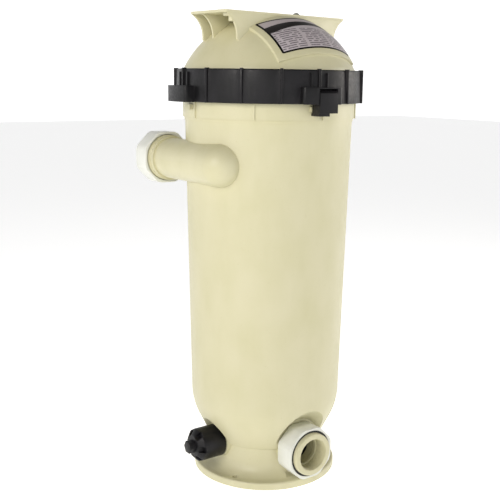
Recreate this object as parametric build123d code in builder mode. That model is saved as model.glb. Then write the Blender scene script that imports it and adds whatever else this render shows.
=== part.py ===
from build123d import *
from math import cos, degrees, radians, sin, sqrt, tan
import os

# Cartridge filter for a pool or spa: a tapered tank on a round foot, a domed lid held
# down by a screwed lock ring, two unions, a drain cap and a pleated filter cartridge.
#
# Frame: +Z up, origin at the centre of the foot's underside. The outlet points along -Y,
# the drain along -X, and the inlet runs past the tank's -X side and opens towards +Y.

os.makedirs("parts", exist_ok=True)

# ---------------------------------------------------------------- driving dimensions
MOVE_GAP = 0.4              # room between pieces that move on each other
PIN_FIT = 0.05              # room round a pin or a pushed-in tube

# Tank
RIM_Z = 692.0               # top of the tank's mouth
TANK_TOP_R = 143.3          # outer radius under the collar
TANK_TAPER = 10.3           # how much narrower the wall is where it meets the lower dome
WALL = 6.0
DOME_TOP_Z = 150.0          # height where the taper ends and the lower dome starts
DOME_BEND_R = 110.0         # radius of the dome's bend
DOME_SLOPE = 26.7           # slope of the dome's lower cone from vertical, degrees
CREASE_Z = 64.0             # height of the crease between dome and skirt
CREASE_H = 1.0              # height of the ledge between the cone's lower end and the skirt
SKIRT_INSET = 35.5          # how much narrower the skirt is than the wall's lower end
FLANGE_W = 30.5             # how far the foot's flange stands out from the skirt
FLANGE_T = 12.5
FLARE_R = 22.0
RIM_R = 3.0
FOOT_RECESS_W = 13.5        # from the skirt to the hollow under the foot
FOOT_RECESS_H = 12.0
FLOOR_T = 8.0
BEND_RISE = 5.0             # from the crease up to the bend inside the skirt
COLLAR_H = 61.0             # from the shoulder under the collar to the rim
COLLAR_STEP = 3.7
BEAD_H = 5.0                # shallow bead round the wall under the collar
BEAD_STEP = 1.3
NECK_WALL = 9.0
MOUTH_DEPTH = 42.0
MOUTH_CHAMFER = 10.0        # height of the cone under the smooth mouth
MOUTH_NARROW = 1.3          # how much narrower the wall is below that cone
COLLAR_RIBS = 8
COLLAR_RIB_W = 3.0
COLLAR_RIB_H = 2.2
CATCH_COUNT = 4             # catches that the latch's tooth passes under
CATCH_STEP = 6.0
CATCH_DROP = 12.0           # from the lock ring down to the catch's underside
CATCH_H = 8.0
CATCH_ANGLE = 7.0           # how much of the circle one catch takes, degrees
CATCH_ROOT = 2.0            # how far a catch is sunk into the collar

# Foot bolts
BOLT_COUNT = 4
BOLT_EDGE = 13.0            # from the flange's edge to the bolt circle
BOLT_HOLE_R = 4.5
BOLT_ANGLE = -62.0

# Thread between neck and lock ring, drawn as separate crests
RING_CREST_STEP = 2.7
CREST_W = 4.0
CREST_ROOT = 0.2            # how far a crest is sunk into the wall that carries it
CREST_PITCH = 10.0
CREST_COUNT = 3
CREST_TOP_DROP = 8.0        # from the rim to the foot of the first crest
THREAD_GAP = 0.5            # radial room between facing crests

# Unions at the inlet and the outlet
OUTLET_Z = 61.5
OUTLET_REACH = 12.5         # from the skirt to the outlet spigot's face
INLET_INSET = 13.3          # how far the inlet's axis lies inside the wall's outer radius
INLET_DROP = 135.0          # from the rim to the inlet's axis
INLET_TUBE_R = 35.0
INLET_BORE_R = 29.0
INLET_NOSE_Y = -50.0        # centre of the inlet tube's round nose
NUT_CLEAR = 5.54            # room between the inlet nut's back and the tank's wall
PORT_R = 25.0               # clear waterway
SPIGOT_ROOT_R = 38.2
SPIGOT_CREST_H = 1.3
SPIGOT_LEN = 22.0
SPIGOT_PITCH = 4.0
SPIGOT_CRESTS = 4
SPIGOT_LEAD = 3.0           # from the spigot's face to its first crest
NUT_T = 4.9                 # from the spigot's crest to the nut's flats
NUT_CORNER = 2.1            # from the flats to the rounded corners
NUT_SIDES = 8
NUT_BACK = 8.0              # how far the nut reaches back over the spigot
NUT_LEN = 36.0
NUT_LIP_T = 9.0
NUT_GASKET_W = 3.8
NUT_GASKET_T = 3.0
NUT_GASKET_DEPTH = 1.0
END_FLANGE_FIT = 0.1        # how much smaller the flange is than the spigot's crests
END_FLANGE_STEP = 2.2
END_FLANGE_T = 6.5
END_LEN = 35.0
END_CHAMFER = 1.2
END_BORE_R = 27.8           # threaded mouth, at the thread's minor diameter
END_BORE_DEPTH = 26.0
FACE_RING_R = 31.5          # O-ring between spigot and union end
FACE_RING_D = 4.0
FACE_RING_PLAY = 0.2
RECESS_ROOM = 3.0           # room round the outlet nut in its recess
RECESS_START = 2.0          # from the skirt out to the recess's narrow end
RECESS_TAPER = 37.0
RECESS_LIFT = 0.6           # the recesses stop this far above the foot's flange

# Drain
DRAIN_Z = 63.0
DRAIN_BOSS_REACH = 3.5      # from the skirt to the boss's face
DRAIN_CAP_GAP = 2.0         # from the boss's face to the cap
DRAIN_PIPE_LEN = 27.0       # length of the drain pipe inside the cap
DRAIN_PIPE_R = 20.0
DRAIN_BORE_R = 11.0
DRAIN_LEAD = 4.0
DRAIN_CREST_H = 1.2
DRAIN_CAP_T = 7.3           # wall of the cap outside the thread
DRAIN_CAP_FACE_T = 16.0     # from the pipe's face to the cap's shoulder
DRAIN_NOSE_W = 9.0
DRAIN_NOSE_LEN = 8.0
DRAIN_KNOB_R = 11.5
DRAIN_KNOB_LEN = 11.0
DRAIN_GASKET_T = 3.0
DRAIN_RECESS_ROOM = 2.5
DRAIN_RECESS_TAPER = 28.0
DRAIN_BOSS_W = 1.5
DRAIN_GRIPS = 6
GRIP_FLUTE = (17.0, 11.0, 2.5)   # width, depth and corner radius of a grip flute
FLUTE_IN = 1.8              # the flutes' middles lie this far inside the cap's edge
FLUTE_BACK = 3.0            # how far the flutes reach back past the cap's shoulder
DRAIN_GASKET_W = 1.0        # the gasket's hole is this much larger than the bore's radius

# Lid
LID_TURN = 6.0              # the lid's handle is turned this far from the tank's X axis
LID_FIT = 0.8               # room between the lid's spigot and the mouth
LID_FLANGE_STEP = 5.5
LID_FLANGE_T = 10.0
LID_NECK_STEP = 1.4
LID_SPIGOT_T = 6.2
LID_SPIGOT_LEN = 20.0
LID_LEAD_IN = (0.4, 1.3)    # width and height of the bevel at the spigot's lower edge
LID_RING_D = 5.0            # section of the lid's O-ring
LID_WALL = 6.0
DOME_STEP = 16.4            # how much larger the dome's radius is than its neck
DOME_CENTRE_DROP = 52.5     # from the rim to the dome's centre
HANDLE_SINK = 1.5           # the handle's top lies this far below the dome's full height
HANDLE_W = 91.4
HANDLE_T = 4.0
HANDLE_CORNER_R = 5.0
HANDLE_WALL = 3.6
HANDLE_END = 11.6           # the handle's end lies this far inside the neck's radius
HANDLE_WAIST = 36.6         # the handle's walls meet the dome this far inside the neck
HANDLE_WAIST_DROP = 43.0
HANDLE_BEND = (4.0, 22.0)   # the walls' curve: out from the waist, down from the top
HANDLE_TIP = 3.0
HANDLE_ROOT = (20.0, 22.0)  # how far the walls' lower corners lie in and down from the waist
HANDLE_EDGE = 0.5           # the outer walls stand this far in from the plate's edge
RIB_Y = 17.0
RIB_T = 3.0
STEP_Y = -30.0              # inner edge of the stepped stiffener behind the front wall
STEP_DEPTHS = (5.0, 13.0)
STEP_END = 10.0
STEP_W = 7.0
PAD_STEP = 3.3              # height of the raised label pad over the dome
PAD_TILT = 40.0             # elevation that the pad faces, degrees
PAD_ROOT_DEPTH = 55.0       # how far under the dome's surface the pad starts
PAD_HALF_W = 84.0
PAD_LOW = -12.5
PAD_HIGH = 86.0
LABEL_HALF_W = 75.0
LABEL_LOW = -1.5
LABEL_HIGH = 77.0
LABEL_T = 0.4
LABEL_CORNER_R = 3.0

# Air relief in the handle
RELIEF_X = 61.0
RELIEF_BOSS_R = 11.0
RELIEF_BORE_R = 5.0
RELIEF_SEAT_R = 1.5
RELIEF_SEAT_T = 4.0
RELIEF_KNOB_R = 7.0
RELIEF_KNOB_H = 4.0
RELIEF_RING_D = 1.4
RELIEF_RING_DROP = 4.0
RELIEF_SLOT = (1.6, 1.4)    # width and depth of the screwdriver slot
RELIEF_SLOT_TURN = 35.0

# Lock ring
RING_TURN = -6.5            # the latch sits this far round from -Y
RING_DROP = 35.0            # from the tank's rim down to the ring's lower edge
RING_H = 53.0
RING_WALL = 5.7
RING_DRAFT = 1.6
RING_EDGE = 1.5             # bevel round the ring's upper edge
RING_FOOT_EDGE = 1.0        # bevel round its lower edge, and how far ribs are sunk in
RING_LIP_T = 7.0
RING_LIP_GAP = 1.0
RING_RIBS = 16
RING_RIB_H = 3.0
RING_RIB_W = 4.2
RING_RIB_TOP = 1.2
RING_CREST_DROP = 17.0      # from the ring's lip down to the foot of its first crest
LUG_COUNT = 4
LUG_STEP = 17.0
LUG_ANGLE = 23.6            # how much of the circle one lug takes, degrees
LUG_H = 26.0
LUG_CORNER_R = 5.0
GUSSET_ANGLE = 5.3
GUSSET_W = 2.6
GUSSET_H = 22.0
SLOT_W = 34.0               # latch slot in the front lug
SLOT_FLOOR = 0.6            # the slot's back wall stands this far out from the ring
SLOT_ROOF = 2.0
LATCH_W = 33.0
LATCH_SHIFT = 7.5           # the latch sits this far to the right of its lug's middle
LATCH_IN = 3.2
LATCH_PROUD = 1.0
LATCH_LOW = 13.5            # from the ring down to the latch's shoulder
LATCH_OVER_PIN = 6.4
LATCH_BEVEL = 4.0
TAB_DROP = 1.0              # from the ring down to the tab's upper edge
CATCH_CLEAR = 1.5           # room between the catches and the latch's tab
TOOTH_W = 20.0
TOOTH_LOW = 18.2            # from the ring down to the tooth's underside
TOOTH_SHIFT = 6.5
TOOTH_BACK = 3.0
PIN_R = 2.0
PIN_LEN = 46.0
PIN_IN = 8.0                # from the lug's face to the pin
PIN_UP = 15.0               # from the ring's lower edge to the pin
SPRING_R = 3.3
SPRING_WIRE = 1.0
SPRING_LEN = 11.0
SPRING_TURNS = 5
SPRING_POCKET = (14.0, 16.0, 18.0)   # width, depth and height of the pocket in the latch

# Inside the tank
HUB_R = 36.0
HUB_WALL = 8.0
HUB_STUB = 14.0             # height of the hub above the cartridge's seat
HUB_RING_D = 3.6
SEAT_Z = 138.0
SEAT_W = 8.0
SEAT_T = 5.0
ELBOW_WALL = 6.0
SPIDER_ARMS = 3
SPIDER_W = 4.0
SPIDER_ROOT = 1.0           # how far the arms are sunk into the hub and the socket
BLEED_R = 8.0
BLEED_WALL = 1.8
BLEED_DROP = 28.0           # from the rim to the top of the bleed tube
SOCKET_WALL = 3.0
SOCKET_H = 14.0             # from the socket's foot to the hub's top
SOCKET_DROP = 1.8           # the spider stops this far below the hub's top
STRAINER_WALL = 1.6
STRAINER_H = 28.0
STRAINER_SLOTS = 12
STRAINER_GAP = 1.0          # room between the strainer and the upper end cap
STRAINER_SLOT = (6.0, 1.2)

# Filter cartridge
CARTRIDGE_ROOM = 24.5       # from the tank's mouth to the cartridge
CARTRIDGE_DROP = 58.6       # from the tank's rim to the cartridge's top
CAP_T = 12.0
CAP_LIP = 8.0
CAP_LIP_T = 1.8
CAP_R = 3.0
PLEATS = 60
PLEAT_ROOM = 2.1            # from the end cap's edge to the pleats' tips
PLEAT_TIP_W = 2.4
PLEAT_ROOT_T = 3.0
CORE_STEP = 7.0             # how far the core stands outside the hub
CORE_WALL = 3.0
CORE_GAP = 6.0
CORE_HOLE_R = 5.0
CORE_ROWS = 12
CORE_HOLES = 10
BAND_COUNT = 3
BAND_H = 6.0
BAND_T = 0.6
CAP_BORE_GAP = 2.6          # room between hub and lower end cap, sealed by the hub's O-ring
GRIP_R = 62.0
GRIP_W = 6.0
GRIP_H = 18.0
GRIP_BAR = 5.0
GRIP_WINDOWS = 4
GRIP_WINDOW_W = 62.0        # width of each finger window under the lifting ring

# ---------------------------------------------------------------- sizes that follow
# Tank
TANK_BOTTOM_R = TANK_TOP_R - TANK_TAPER
DOME_CENTRE_R = TANK_BOTTOM_R - DOME_BEND_R
SLOPE_SIN = sin(radians(DOME_SLOPE))
SLOPE_COS = cos(radians(DOME_SLOPE))
dome_tangent = (DOME_CENTRE_R + DOME_BEND_R * SLOPE_COS, DOME_TOP_Z - DOME_BEND_R * SLOPE_SIN)
inner_bend_r = DOME_BEND_R - WALL
inner_tangent = (DOME_CENTRE_R + inner_bend_r * SLOPE_COS, DOME_TOP_Z - inner_bend_r * SLOPE_SIN)
crease_r = dome_tangent[0] - (dome_tangent[1] - CREASE_Z) * tan(radians(DOME_SLOPE))
SKIRT_R = TANK_BOTTOM_R - SKIRT_INSET
FLANGE_R = SKIRT_R + FLANGE_W
FLOOR_Z = FOOT_RECESS_H + FLOOR_T
INSIDE_SKIRT_R = SKIRT_R - WALL
FOOT_RECESS_R = SKIRT_R - FOOT_RECESS_W
COLLAR_Z = RIM_Z - COLLAR_H
COLLAR_R = TANK_TOP_R + COLLAR_STEP
MOUTH_R = COLLAR_R - NECK_WALL
RING_CREST_R = COLLAR_R + RING_CREST_STEP
CATCH_R = COLLAR_R + CATCH_STEP
BOLT_PCD = 2 * (FLANGE_R - BOLT_EDGE)

# Unions and drain
OUTLET_END = SKIRT_R + OUTLET_REACH
SPIGOT_CREST_R = SPIGOT_ROOT_R + SPIGOT_CREST_H
END_FLANGE_R = SPIGOT_CREST_R - END_FLANGE_FIT
END_BARREL_R = END_FLANGE_R - END_FLANGE_STEP
NUT_FLAT_R = SPIGOT_CREST_R + NUT_T
NUT_R = NUT_FLAT_R + NUT_CORNER
NUT_GASKET_R = END_BARREL_R + NUT_GASKET_W
RECESS_R = NUT_R + RECESS_ROOM
INLET_X = INLET_INSET - TANK_TOP_R
INLET_Z = RIM_Z - INLET_DROP
INLET_END = sqrt(TANK_TOP_R**2 - (INLET_X + NUT_R) ** 2) + NUT_BACK + NUT_CLEAR
DRAIN_BOSS_END = SKIRT_R + DRAIN_BOSS_REACH
DRAIN_CAP_BACK = DRAIN_BOSS_END + DRAIN_CAP_GAP
DRAIN_END = DRAIN_CAP_BACK + DRAIN_PIPE_LEN
DRAIN_CREST_R = DRAIN_PIPE_R + DRAIN_CREST_H
DRAIN_CAP_R = DRAIN_CREST_R + DRAIN_CAP_T
DRAIN_CAP_FRONT = DRAIN_END + DRAIN_CAP_FACE_T
DRAIN_RECESS_R = DRAIN_CAP_R + DRAIN_RECESS_ROOM

# Lid
LID_SPIGOT_R = MOUTH_R - LID_FIT
LID_SPIGOT_IN_R = LID_SPIGOT_R - LID_SPIGOT_T
LID_FLANGE_R = COLLAR_R + LID_FLANGE_STEP
LID_FLANGE_Z = RIM_Z + MOVE_GAP
LID_NECK_R = COLLAR_R - LID_NECK_STEP
DOME_R = LID_NECK_R + DOME_STEP
DOME_CENTRE_Z = RIM_Z - DOME_CENTRE_DROP
LID_TOP_Z = DOME_CENTRE_Z + DOME_R - HANDLE_SINK
HANDLE_HALF_L = LID_NECK_R - HANDLE_END
HANDLE_NECK = LID_NECK_R - HANDLE_WAIST
HANDLE_WAIST_Z = LID_TOP_Z - HANDLE_WAIST_DROP
HANDLE_BOTTOM_Z = LID_TOP_Z - HANDLE_T
PAD_R = DOME_R + PAD_STEP
PAD_ROOT = DOME_R - PAD_ROOT_DEPTH
neck_top_z = DOME_CENTRE_Z + sqrt(DOME_R**2 - LID_NECK_R**2)
spigot_z = LID_FLANGE_Z - LID_SPIGOT_LEN
inner_r = DOME_R - LID_WALL
inner_meet_z = DOME_CENTRE_Z + sqrt(inner_r**2 - LID_SPIGOT_IN_R**2)
lid_groove_z = LID_FLANGE_Z - LID_SPIGOT_LEN / 2
relief_seat_z = DOME_CENTRE_Z + sqrt(inner_r**2 - RELIEF_X**2) + RELIEF_SEAT_T
relief_ring_z = LID_TOP_Z - RELIEF_RING_DROP

# Lock ring and latch
RING_Z = RIM_Z - RING_DROP
LIP_Z = LID_FLANGE_Z + LID_FLANGE_T + MOVE_GAP
RING_TOP_Z = max(RING_Z + RING_H, LIP_Z + RING_LIP_T)
RING_ROOT_R = LID_FLANGE_R + 2 * MOVE_GAP
RIB_ROOT_R = RING_ROOT_R + RING_FOOT_EDGE
THREAD_IN_R = RING_CREST_R + THREAD_GAP
RING_R_LOW = RING_ROOT_R + RING_WALL
RING_R_HIGH = RING_R_LOW - RING_DRAFT
RING_RIB_R = RING_R_LOW + RING_RIB_H
LUG_R = RING_R_LOW + LUG_STEP
LUG_TOP_Z = RING_Z + LUG_H
SLOT_TOP_Z = LUG_TOP_Z - SLOT_ROOF
SLOT_DEPTH_R = RING_R_LOW + SLOT_FLOOR
CATCH_Z = RING_Z - CATCH_DROP
LATCH_IN_R = RING_R_LOW + LATCH_IN
LATCH_OUT_R = LUG_R + LATCH_PROUD
LATCH_LOW_Z = RING_Z - LATCH_LOW
TAB_IN_R = CATCH_R + CATCH_CLEAR
TOOTH_R = CATCH_R - CATCH_CLEAR
TOOTH_Z = RING_Z - TOOTH_LOW
PIN_AT_R = LUG_R - PIN_IN
PIN_AT_Z = RING_Z + PIN_UP
LATCH_TOP_Z = PIN_AT_Z + LATCH_OVER_PIN

# Inside the tank
HUB_TOP_Z = SEAT_Z + HUB_STUB
HUB_BORE_R = HUB_R - HUB_WALL
SEAT_R = HUB_R + SEAT_W
ELBOW_R = PORT_R + ELBOW_WALL
SOCKET_R = BLEED_R + SOCKET_WALL
STRAINER_R = BLEED_R + STRAINER_WALL
BLEED_TOP_Z = RIM_Z - BLEED_DROP
ELEMENT_R = MOUTH_R - CARTRIDGE_ROOM
ELEMENT_Z = SEAT_Z + MOVE_GAP
ELEMENT_TOP_Z = RIM_Z - CARTRIDGE_DROP
ELEMENT_L = ELEMENT_TOP_Z - ELEMENT_Z
PLEAT_OUT_R = ELEMENT_R - PLEAT_ROOM
CORE_R = HUB_R + CORE_STEP
MEDIA_BORE_R = CORE_R + CORE_GAP
PLEAT_IN_R = MEDIA_BORE_R + PLEAT_ROOT_T

outlet_face = Plane(origin=(0, -OUTLET_END, OUTLET_Z), x_dir=(1, 0, 0), z_dir=(0, -1, 0))
inlet_face = Plane(origin=(INLET_X, INLET_END, INLET_Z), x_dir=(-1, 0, 0), z_dir=(0, 1, 0))
drain_face = Plane(origin=(-DRAIN_END, 0, DRAIN_Z), x_dir=(0, -1, 0), z_dir=(-1, 0, 0))
lid_plane = Plane.XY.rotated((0, 0, LID_TURN))
lid_side = Plane.XZ.rotated((0, 0, LID_TURN))
pad_plane = Plane(
    origin=(0, 0, DOME_CENTRE_Z),
    x_dir=(cos(radians(LID_TURN)), sin(radians(LID_TURN)), 0),
    z_dir=(
        sin(radians(LID_TURN)) * cos(radians(PAD_TILT)),
        -cos(radians(LID_TURN)) * cos(radians(PAD_TILT)),
        sin(radians(PAD_TILT)),
    ),
)
ring_plane = Plane.XY.rotated((0, 0, RING_TURN - 90))
latch_out = Vector(sin(radians(RING_TURN)), -cos(radians(RING_TURN)), 0)
latch_left = latch_out.cross(Vector(0, 0, 1))
latch_plane = Plane(origin=latch_left * -LATCH_SHIFT, x_dir=latch_out, z_dir=latch_left)


def crest(inner, outer, width, plane, start):
    """One thread crest, a ring with a sloped flank, round the plane's axis."""
    with BuildPart() as ridge:
        with BuildSketch(plane.offset(start)):
            Circle(outer)
            Circle(inner, mode=Mode.SUBTRACT)
        extrude(amount=width)
        chamfer(ridge.edges().filter_by(GeomType.CIRCLE).group_by(SortBy.RADIUS)[-1], (outer - inner) / 2)
    return ridge.part


def torus_ring(radius, section, plane):
    """An O-ring of the given middle radius, with its middle in the plane."""
    with BuildPart(plane) as ring:
        Torus(radius, section / 2)
    return ring


def sector(inner, outer, angle):
    """A piece of a flat ring, centred on the sketch's X axis."""
    half = radians(angle / 2)
    with BuildSketch() as piece:
        with BuildLine():
            CenterArc((0, 0), outer, -angle / 2, angle)
            CenterArc((0, 0), inner, -angle / 2, angle)
            for sign in (-1, 1):
                Line(
                    (inner * cos(half), sign * inner * sin(half)),
                    (outer * cos(half), sign * outer * sin(half)),
                )
        make_face()
    return piece.sketch


# ---------------------------------------------------------------- tank
# The inside of the tank, kept clear of the recesses round the outlet nut and the drain cap
with BuildPart() as tank_inside:
    with BuildSketch(Plane.XZ):
        with BuildLine():
            Polyline(
                (0, RIM_Z),
                (0, FLOOR_Z),
                (INSIDE_SKIRT_R, FLOOR_Z),
                (INSIDE_SKIRT_R, CREASE_Z + BEND_RISE),
                inner_tangent,
            )
            JernArc(inner_tangent, (SLOPE_SIN, SLOPE_COS), inner_bend_r, DOME_SLOPE)
            Polyline(
                (TANK_BOTTOM_R - WALL, DOME_TOP_Z),
                (MOUTH_R - MOUTH_NARROW, RIM_Z - MOUTH_DEPTH - MOUTH_CHAMFER),
                (MOUTH_R, RIM_Z - MOUTH_DEPTH),
                (MOUTH_R, RIM_Z),
                (0, RIM_Z),
            )
        make_face()
    revolve(axis=Axis.Z)
    with BuildSketch(outlet_face.offset(-OUTLET_END + INSIDE_SKIRT_R)):
        Circle(RECESS_R + WALL)
    extrude(amount=FLANGE_R - INSIDE_SKIRT_R, taper=-RECESS_TAPER, mode=Mode.SUBTRACT)
    with BuildSketch(drain_face.offset(-DRAIN_END + INSIDE_SKIRT_R)):
        Circle(DRAIN_RECESS_R + WALL)
    extrude(amount=FLANGE_R - INSIDE_SKIRT_R, taper=-DRAIN_RECESS_TAPER, mode=Mode.SUBTRACT)

# The recesses stop above the foot's flange
with BuildPart() as port_recesses:
    with BuildSketch(outlet_face.offset(-OUTLET_END + SKIRT_R + RECESS_START)):
        Circle(RECESS_R)
    extrude(amount=FLANGE_R, taper=-RECESS_TAPER)
    with BuildSketch(drain_face.offset(-DRAIN_END + DRAIN_BOSS_END)):
        Circle(DRAIN_RECESS_R)
    extrude(amount=FLANGE_R, taper=-DRAIN_RECESS_TAPER)
    with BuildSketch(Plane.XY.offset(FLANGE_T + RECESS_LIFT)):
        Circle(3 * FLANGE_R)
    extrude(amount=DOME_TOP_Z, mode=Mode.INTERSECT)

with BuildPart() as tank_body:
    # Foot, skirt, lower dome, tapered wall and neck
    with BuildSketch(Plane.XZ):
        with BuildLine():
            Polyline((0, RIM_Z), (0, 0), (FLANGE_R, 0), (FLANGE_R, FLANGE_T - RIM_R))
            CenterArc((FLANGE_R - RIM_R, FLANGE_T - RIM_R), RIM_R, 0, 90)
            Line((FLANGE_R - RIM_R, FLANGE_T), (SKIRT_R + FLARE_R, FLANGE_T))
            CenterArc((SKIRT_R + FLARE_R, FLANGE_T + FLARE_R), FLARE_R, 180, 90)
            Polyline(
                (SKIRT_R, FLANGE_T + FLARE_R),
                (SKIRT_R, CREASE_Z - CREASE_H),
                (crease_r, CREASE_Z),
                dome_tangent,
            )
            JernArc(dome_tangent, (SLOPE_SIN, SLOPE_COS), DOME_BEND_R, DOME_SLOPE)
            Polyline(
                (TANK_BOTTOM_R, DOME_TOP_Z),
                (TANK_TOP_R, COLLAR_Z - BEAD_H),
                (TANK_TOP_R + BEAD_STEP, COLLAR_Z - BEAD_H),
                (TANK_TOP_R + BEAD_STEP, COLLAR_Z),
                (COLLAR_R, COLLAR_Z),
                (COLLAR_R, RIM_Z),
                (0, RIM_Z),
            )
        make_face()
    revolve(axis=Axis.Z)
    add(port_recesses.part, mode=Mode.SUBTRACT)

    # Inlet tube with its round nose, running past the side of the tank
    with BuildSketch(inlet_face):
        Circle(INLET_TUBE_R)
    extrude(amount=-(INLET_END - INLET_NOSE_Y))
    with Locations((INLET_X, INLET_NOSE_Y, INLET_Z)):
        Sphere(INLET_TUBE_R)

    # Spigots for the unions and the drain
    for face in (outlet_face, inlet_face):
        with BuildSketch(face):
            Circle(SPIGOT_ROOT_R)
        extrude(amount=-SPIGOT_LEN)
        for turn in range(SPIGOT_CRESTS):
            start = -SPIGOT_LEAD - turn * SPIGOT_PITCH
            add(crest(SPIGOT_ROOT_R - CREST_ROOT, SPIGOT_CREST_R, SPIGOT_PITCH / 2, face, start))
    with BuildSketch(drain_face):
        Circle(DRAIN_PIPE_R)
    extrude(amount=-(DRAIN_END - INSIDE_SKIRT_R))
    with BuildSketch(drain_face.offset(-(DRAIN_END - DRAIN_BOSS_END))):
        Circle(DRAIN_CAP_R + DRAIN_BOSS_W)
    extrude(amount=-(DRAIN_BOSS_END - INSIDE_SKIRT_R))
    for turn in range(SPIGOT_CRESTS):
        start = -DRAIN_LEAD - turn * SPIGOT_PITCH
        add(crest(DRAIN_PIPE_R - CREST_ROOT, DRAIN_CREST_R, SPIGOT_PITCH / 2, drain_face, start))

    # Thread crests on the neck, ribs and catches on the collar
    for turn in range(CREST_COUNT):
        start = RIM_Z - CREST_TOP_DROP - turn * CREST_PITCH
        add(crest(COLLAR_R - CREST_ROOT, RING_CREST_R, CREST_W, Plane.XY, start))
    with PolarLocations(0, COLLAR_RIBS):
        with Locations((COLLAR_R, 0, COLLAR_Z)):
            Box(
                2 * COLLAR_RIB_H,
                COLLAR_RIB_W,
                RING_Z - COLLAR_Z,
                align=(Align.CENTER, Align.CENTER, Align.MIN),
            )
    with BuildSketch(ring_plane.offset(CATCH_Z)):
        with PolarLocations(0, CATCH_COUNT):
            add(sector(COLLAR_R - CATCH_ROOT, CATCH_R, CATCH_ANGLE))
    extrude(amount=CATCH_H)

    # Inside, waterways and the hollow under the foot
    add(tank_inside.part, mode=Mode.SUBTRACT)
    with BuildSketch(outlet_face):
        Circle(PORT_R)
    extrude(amount=-(OUTLET_END - INSIDE_SKIRT_R + WALL), mode=Mode.SUBTRACT)
    with BuildSketch(outlet_face.offset(-OUTLET_END + SKIRT_R)):
        Circle(ELBOW_R + PIN_FIT)
    extrude(amount=-3 * WALL, mode=Mode.SUBTRACT)
    with BuildSketch(inlet_face):
        Circle(PORT_R)
    extrude(amount=-SPIGOT_LEN, mode=Mode.SUBTRACT)
    with BuildSketch(inlet_face.offset(-SPIGOT_LEN)):
        Circle(INLET_BORE_R)
    extrude(amount=-(INLET_END - SPIGOT_LEN - INLET_NOSE_Y), mode=Mode.SUBTRACT)
    with Locations((INLET_X, INLET_NOSE_Y, INLET_Z)):
        Sphere(INLET_BORE_R, mode=Mode.SUBTRACT)
    with BuildSketch(drain_face):
        Circle(DRAIN_BORE_R)
    extrude(amount=-(DRAIN_END - INSIDE_SKIRT_R + WALL), mode=Mode.SUBTRACT)
    with BuildSketch(Plane.XY):
        Circle(FOOT_RECESS_R)
    extrude(amount=FOOT_RECESS_H, mode=Mode.SUBTRACT)
    with BuildSketch(Plane.XY.rotated((0, 0, BOLT_ANGLE))):
        with PolarLocations(BOLT_PCD / 2, BOLT_COUNT):
            Circle(BOLT_HOLE_R)
    extrude(amount=FLANGE_T + FLARE_R, mode=Mode.SUBTRACT)

tank_body.part.label = "tank_body"
export_step(tank_body.part, "parts/tank_body.step")

# ---------------------------------------------------------------- inside the tank
# Collector: an elbow from the outlet to the hub that the cartridge stands on
with BuildPart() as outlet_collector:
    with BuildSketch(Plane.XY.offset(FLOOR_Z)):
        Circle(HUB_R)
    extrude(amount=HUB_TOP_Z - FLOOR_Z)
    with BuildSketch(Plane.XY.offset(SEAT_Z - SEAT_T)):
        Circle(SEAT_R)
    extrude(amount=SEAT_T)
    with BuildSketch(outlet_face.offset(-OUTLET_END + SKIRT_R)):
        Circle(ELBOW_R)
    extrude(amount=-SKIRT_R)
    with BuildSketch(outlet_face.offset(-OUTLET_END + SKIRT_R)):
        Circle(PORT_R)
    extrude(amount=-SKIRT_R, mode=Mode.SUBTRACT)
    with BuildSketch(Plane.XY.offset(OUTLET_Z - PORT_R)):
        Circle(HUB_BORE_R)
    extrude(amount=HUB_TOP_Z, mode=Mode.SUBTRACT)
    with Locations((0, 0, (SEAT_Z + HUB_TOP_Z) / 2)):
        Torus(HUB_R + MOVE_GAP, HUB_RING_D / 2 + PIN_FIT, mode=Mode.SUBTRACT)
    with BuildSketch(Plane.XY.offset(HUB_TOP_Z - SOCKET_H)):
        with PolarLocations(0, SPIDER_ARMS):
            with Locations((HUB_BORE_R / 2, 0)):
                Rectangle(HUB_BORE_R + SPIDER_ROOT, SPIDER_W)
        Circle(SOCKET_R)
        Circle(BLEED_R + PIN_FIT, mode=Mode.SUBTRACT)
    extrude(amount=SOCKET_H - SOCKET_DROP)
outlet_collector.part.label = "outlet_collector"
export_step(outlet_collector.part, "parts/outlet_collector.step")

hub_o_ring = torus_ring(HUB_R + MOVE_GAP, HUB_RING_D, Plane.XY.offset((SEAT_Z + HUB_TOP_Z) / 2))
hub_o_ring.part.label = "hub_o_ring"
export_step(hub_o_ring.part, "parts/hub_o_ring.step")

# Air bleed: a tube from the hub to a strainer at the top of the tank
with BuildPart() as bleed_tube:
    with BuildSketch(Plane.XY.offset(HUB_TOP_Z - SOCKET_H)):
        Circle(BLEED_R)
        Circle(BLEED_R - BLEED_WALL, mode=Mode.SUBTRACT)
    extrude(amount=BLEED_TOP_Z - HUB_TOP_Z + SOCKET_H)
bleed_tube.part.label = "bleed_tube"
export_step(bleed_tube.part, "parts/bleed_tube.step")

with BuildPart() as bleed_strainer:
    with BuildSketch(Plane.XY.offset(BLEED_TOP_Z - STRAINER_H / 3)):
        Circle(STRAINER_R)
    extrude(amount=STRAINER_H)
    with BuildSketch(Plane.XY.offset(BLEED_TOP_Z - STRAINER_H / 3)):
        Circle(BLEED_R + PIN_FIT)
    extrude(amount=STRAINER_H - STRAINER_WALL, mode=Mode.SUBTRACT)
    with BuildSketch(Plane.XY.offset(BLEED_TOP_Z + STRAINER_WALL)):
        with PolarLocations(STRAINER_R, STRAINER_SLOTS):
            Rectangle(*STRAINER_SLOT)
    extrude(amount=STRAINER_H / 2, mode=Mode.SUBTRACT)
bleed_strainer.part.label = "bleed_strainer"
export_step(bleed_strainer.part, "parts/bleed_strainer.step")


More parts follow.
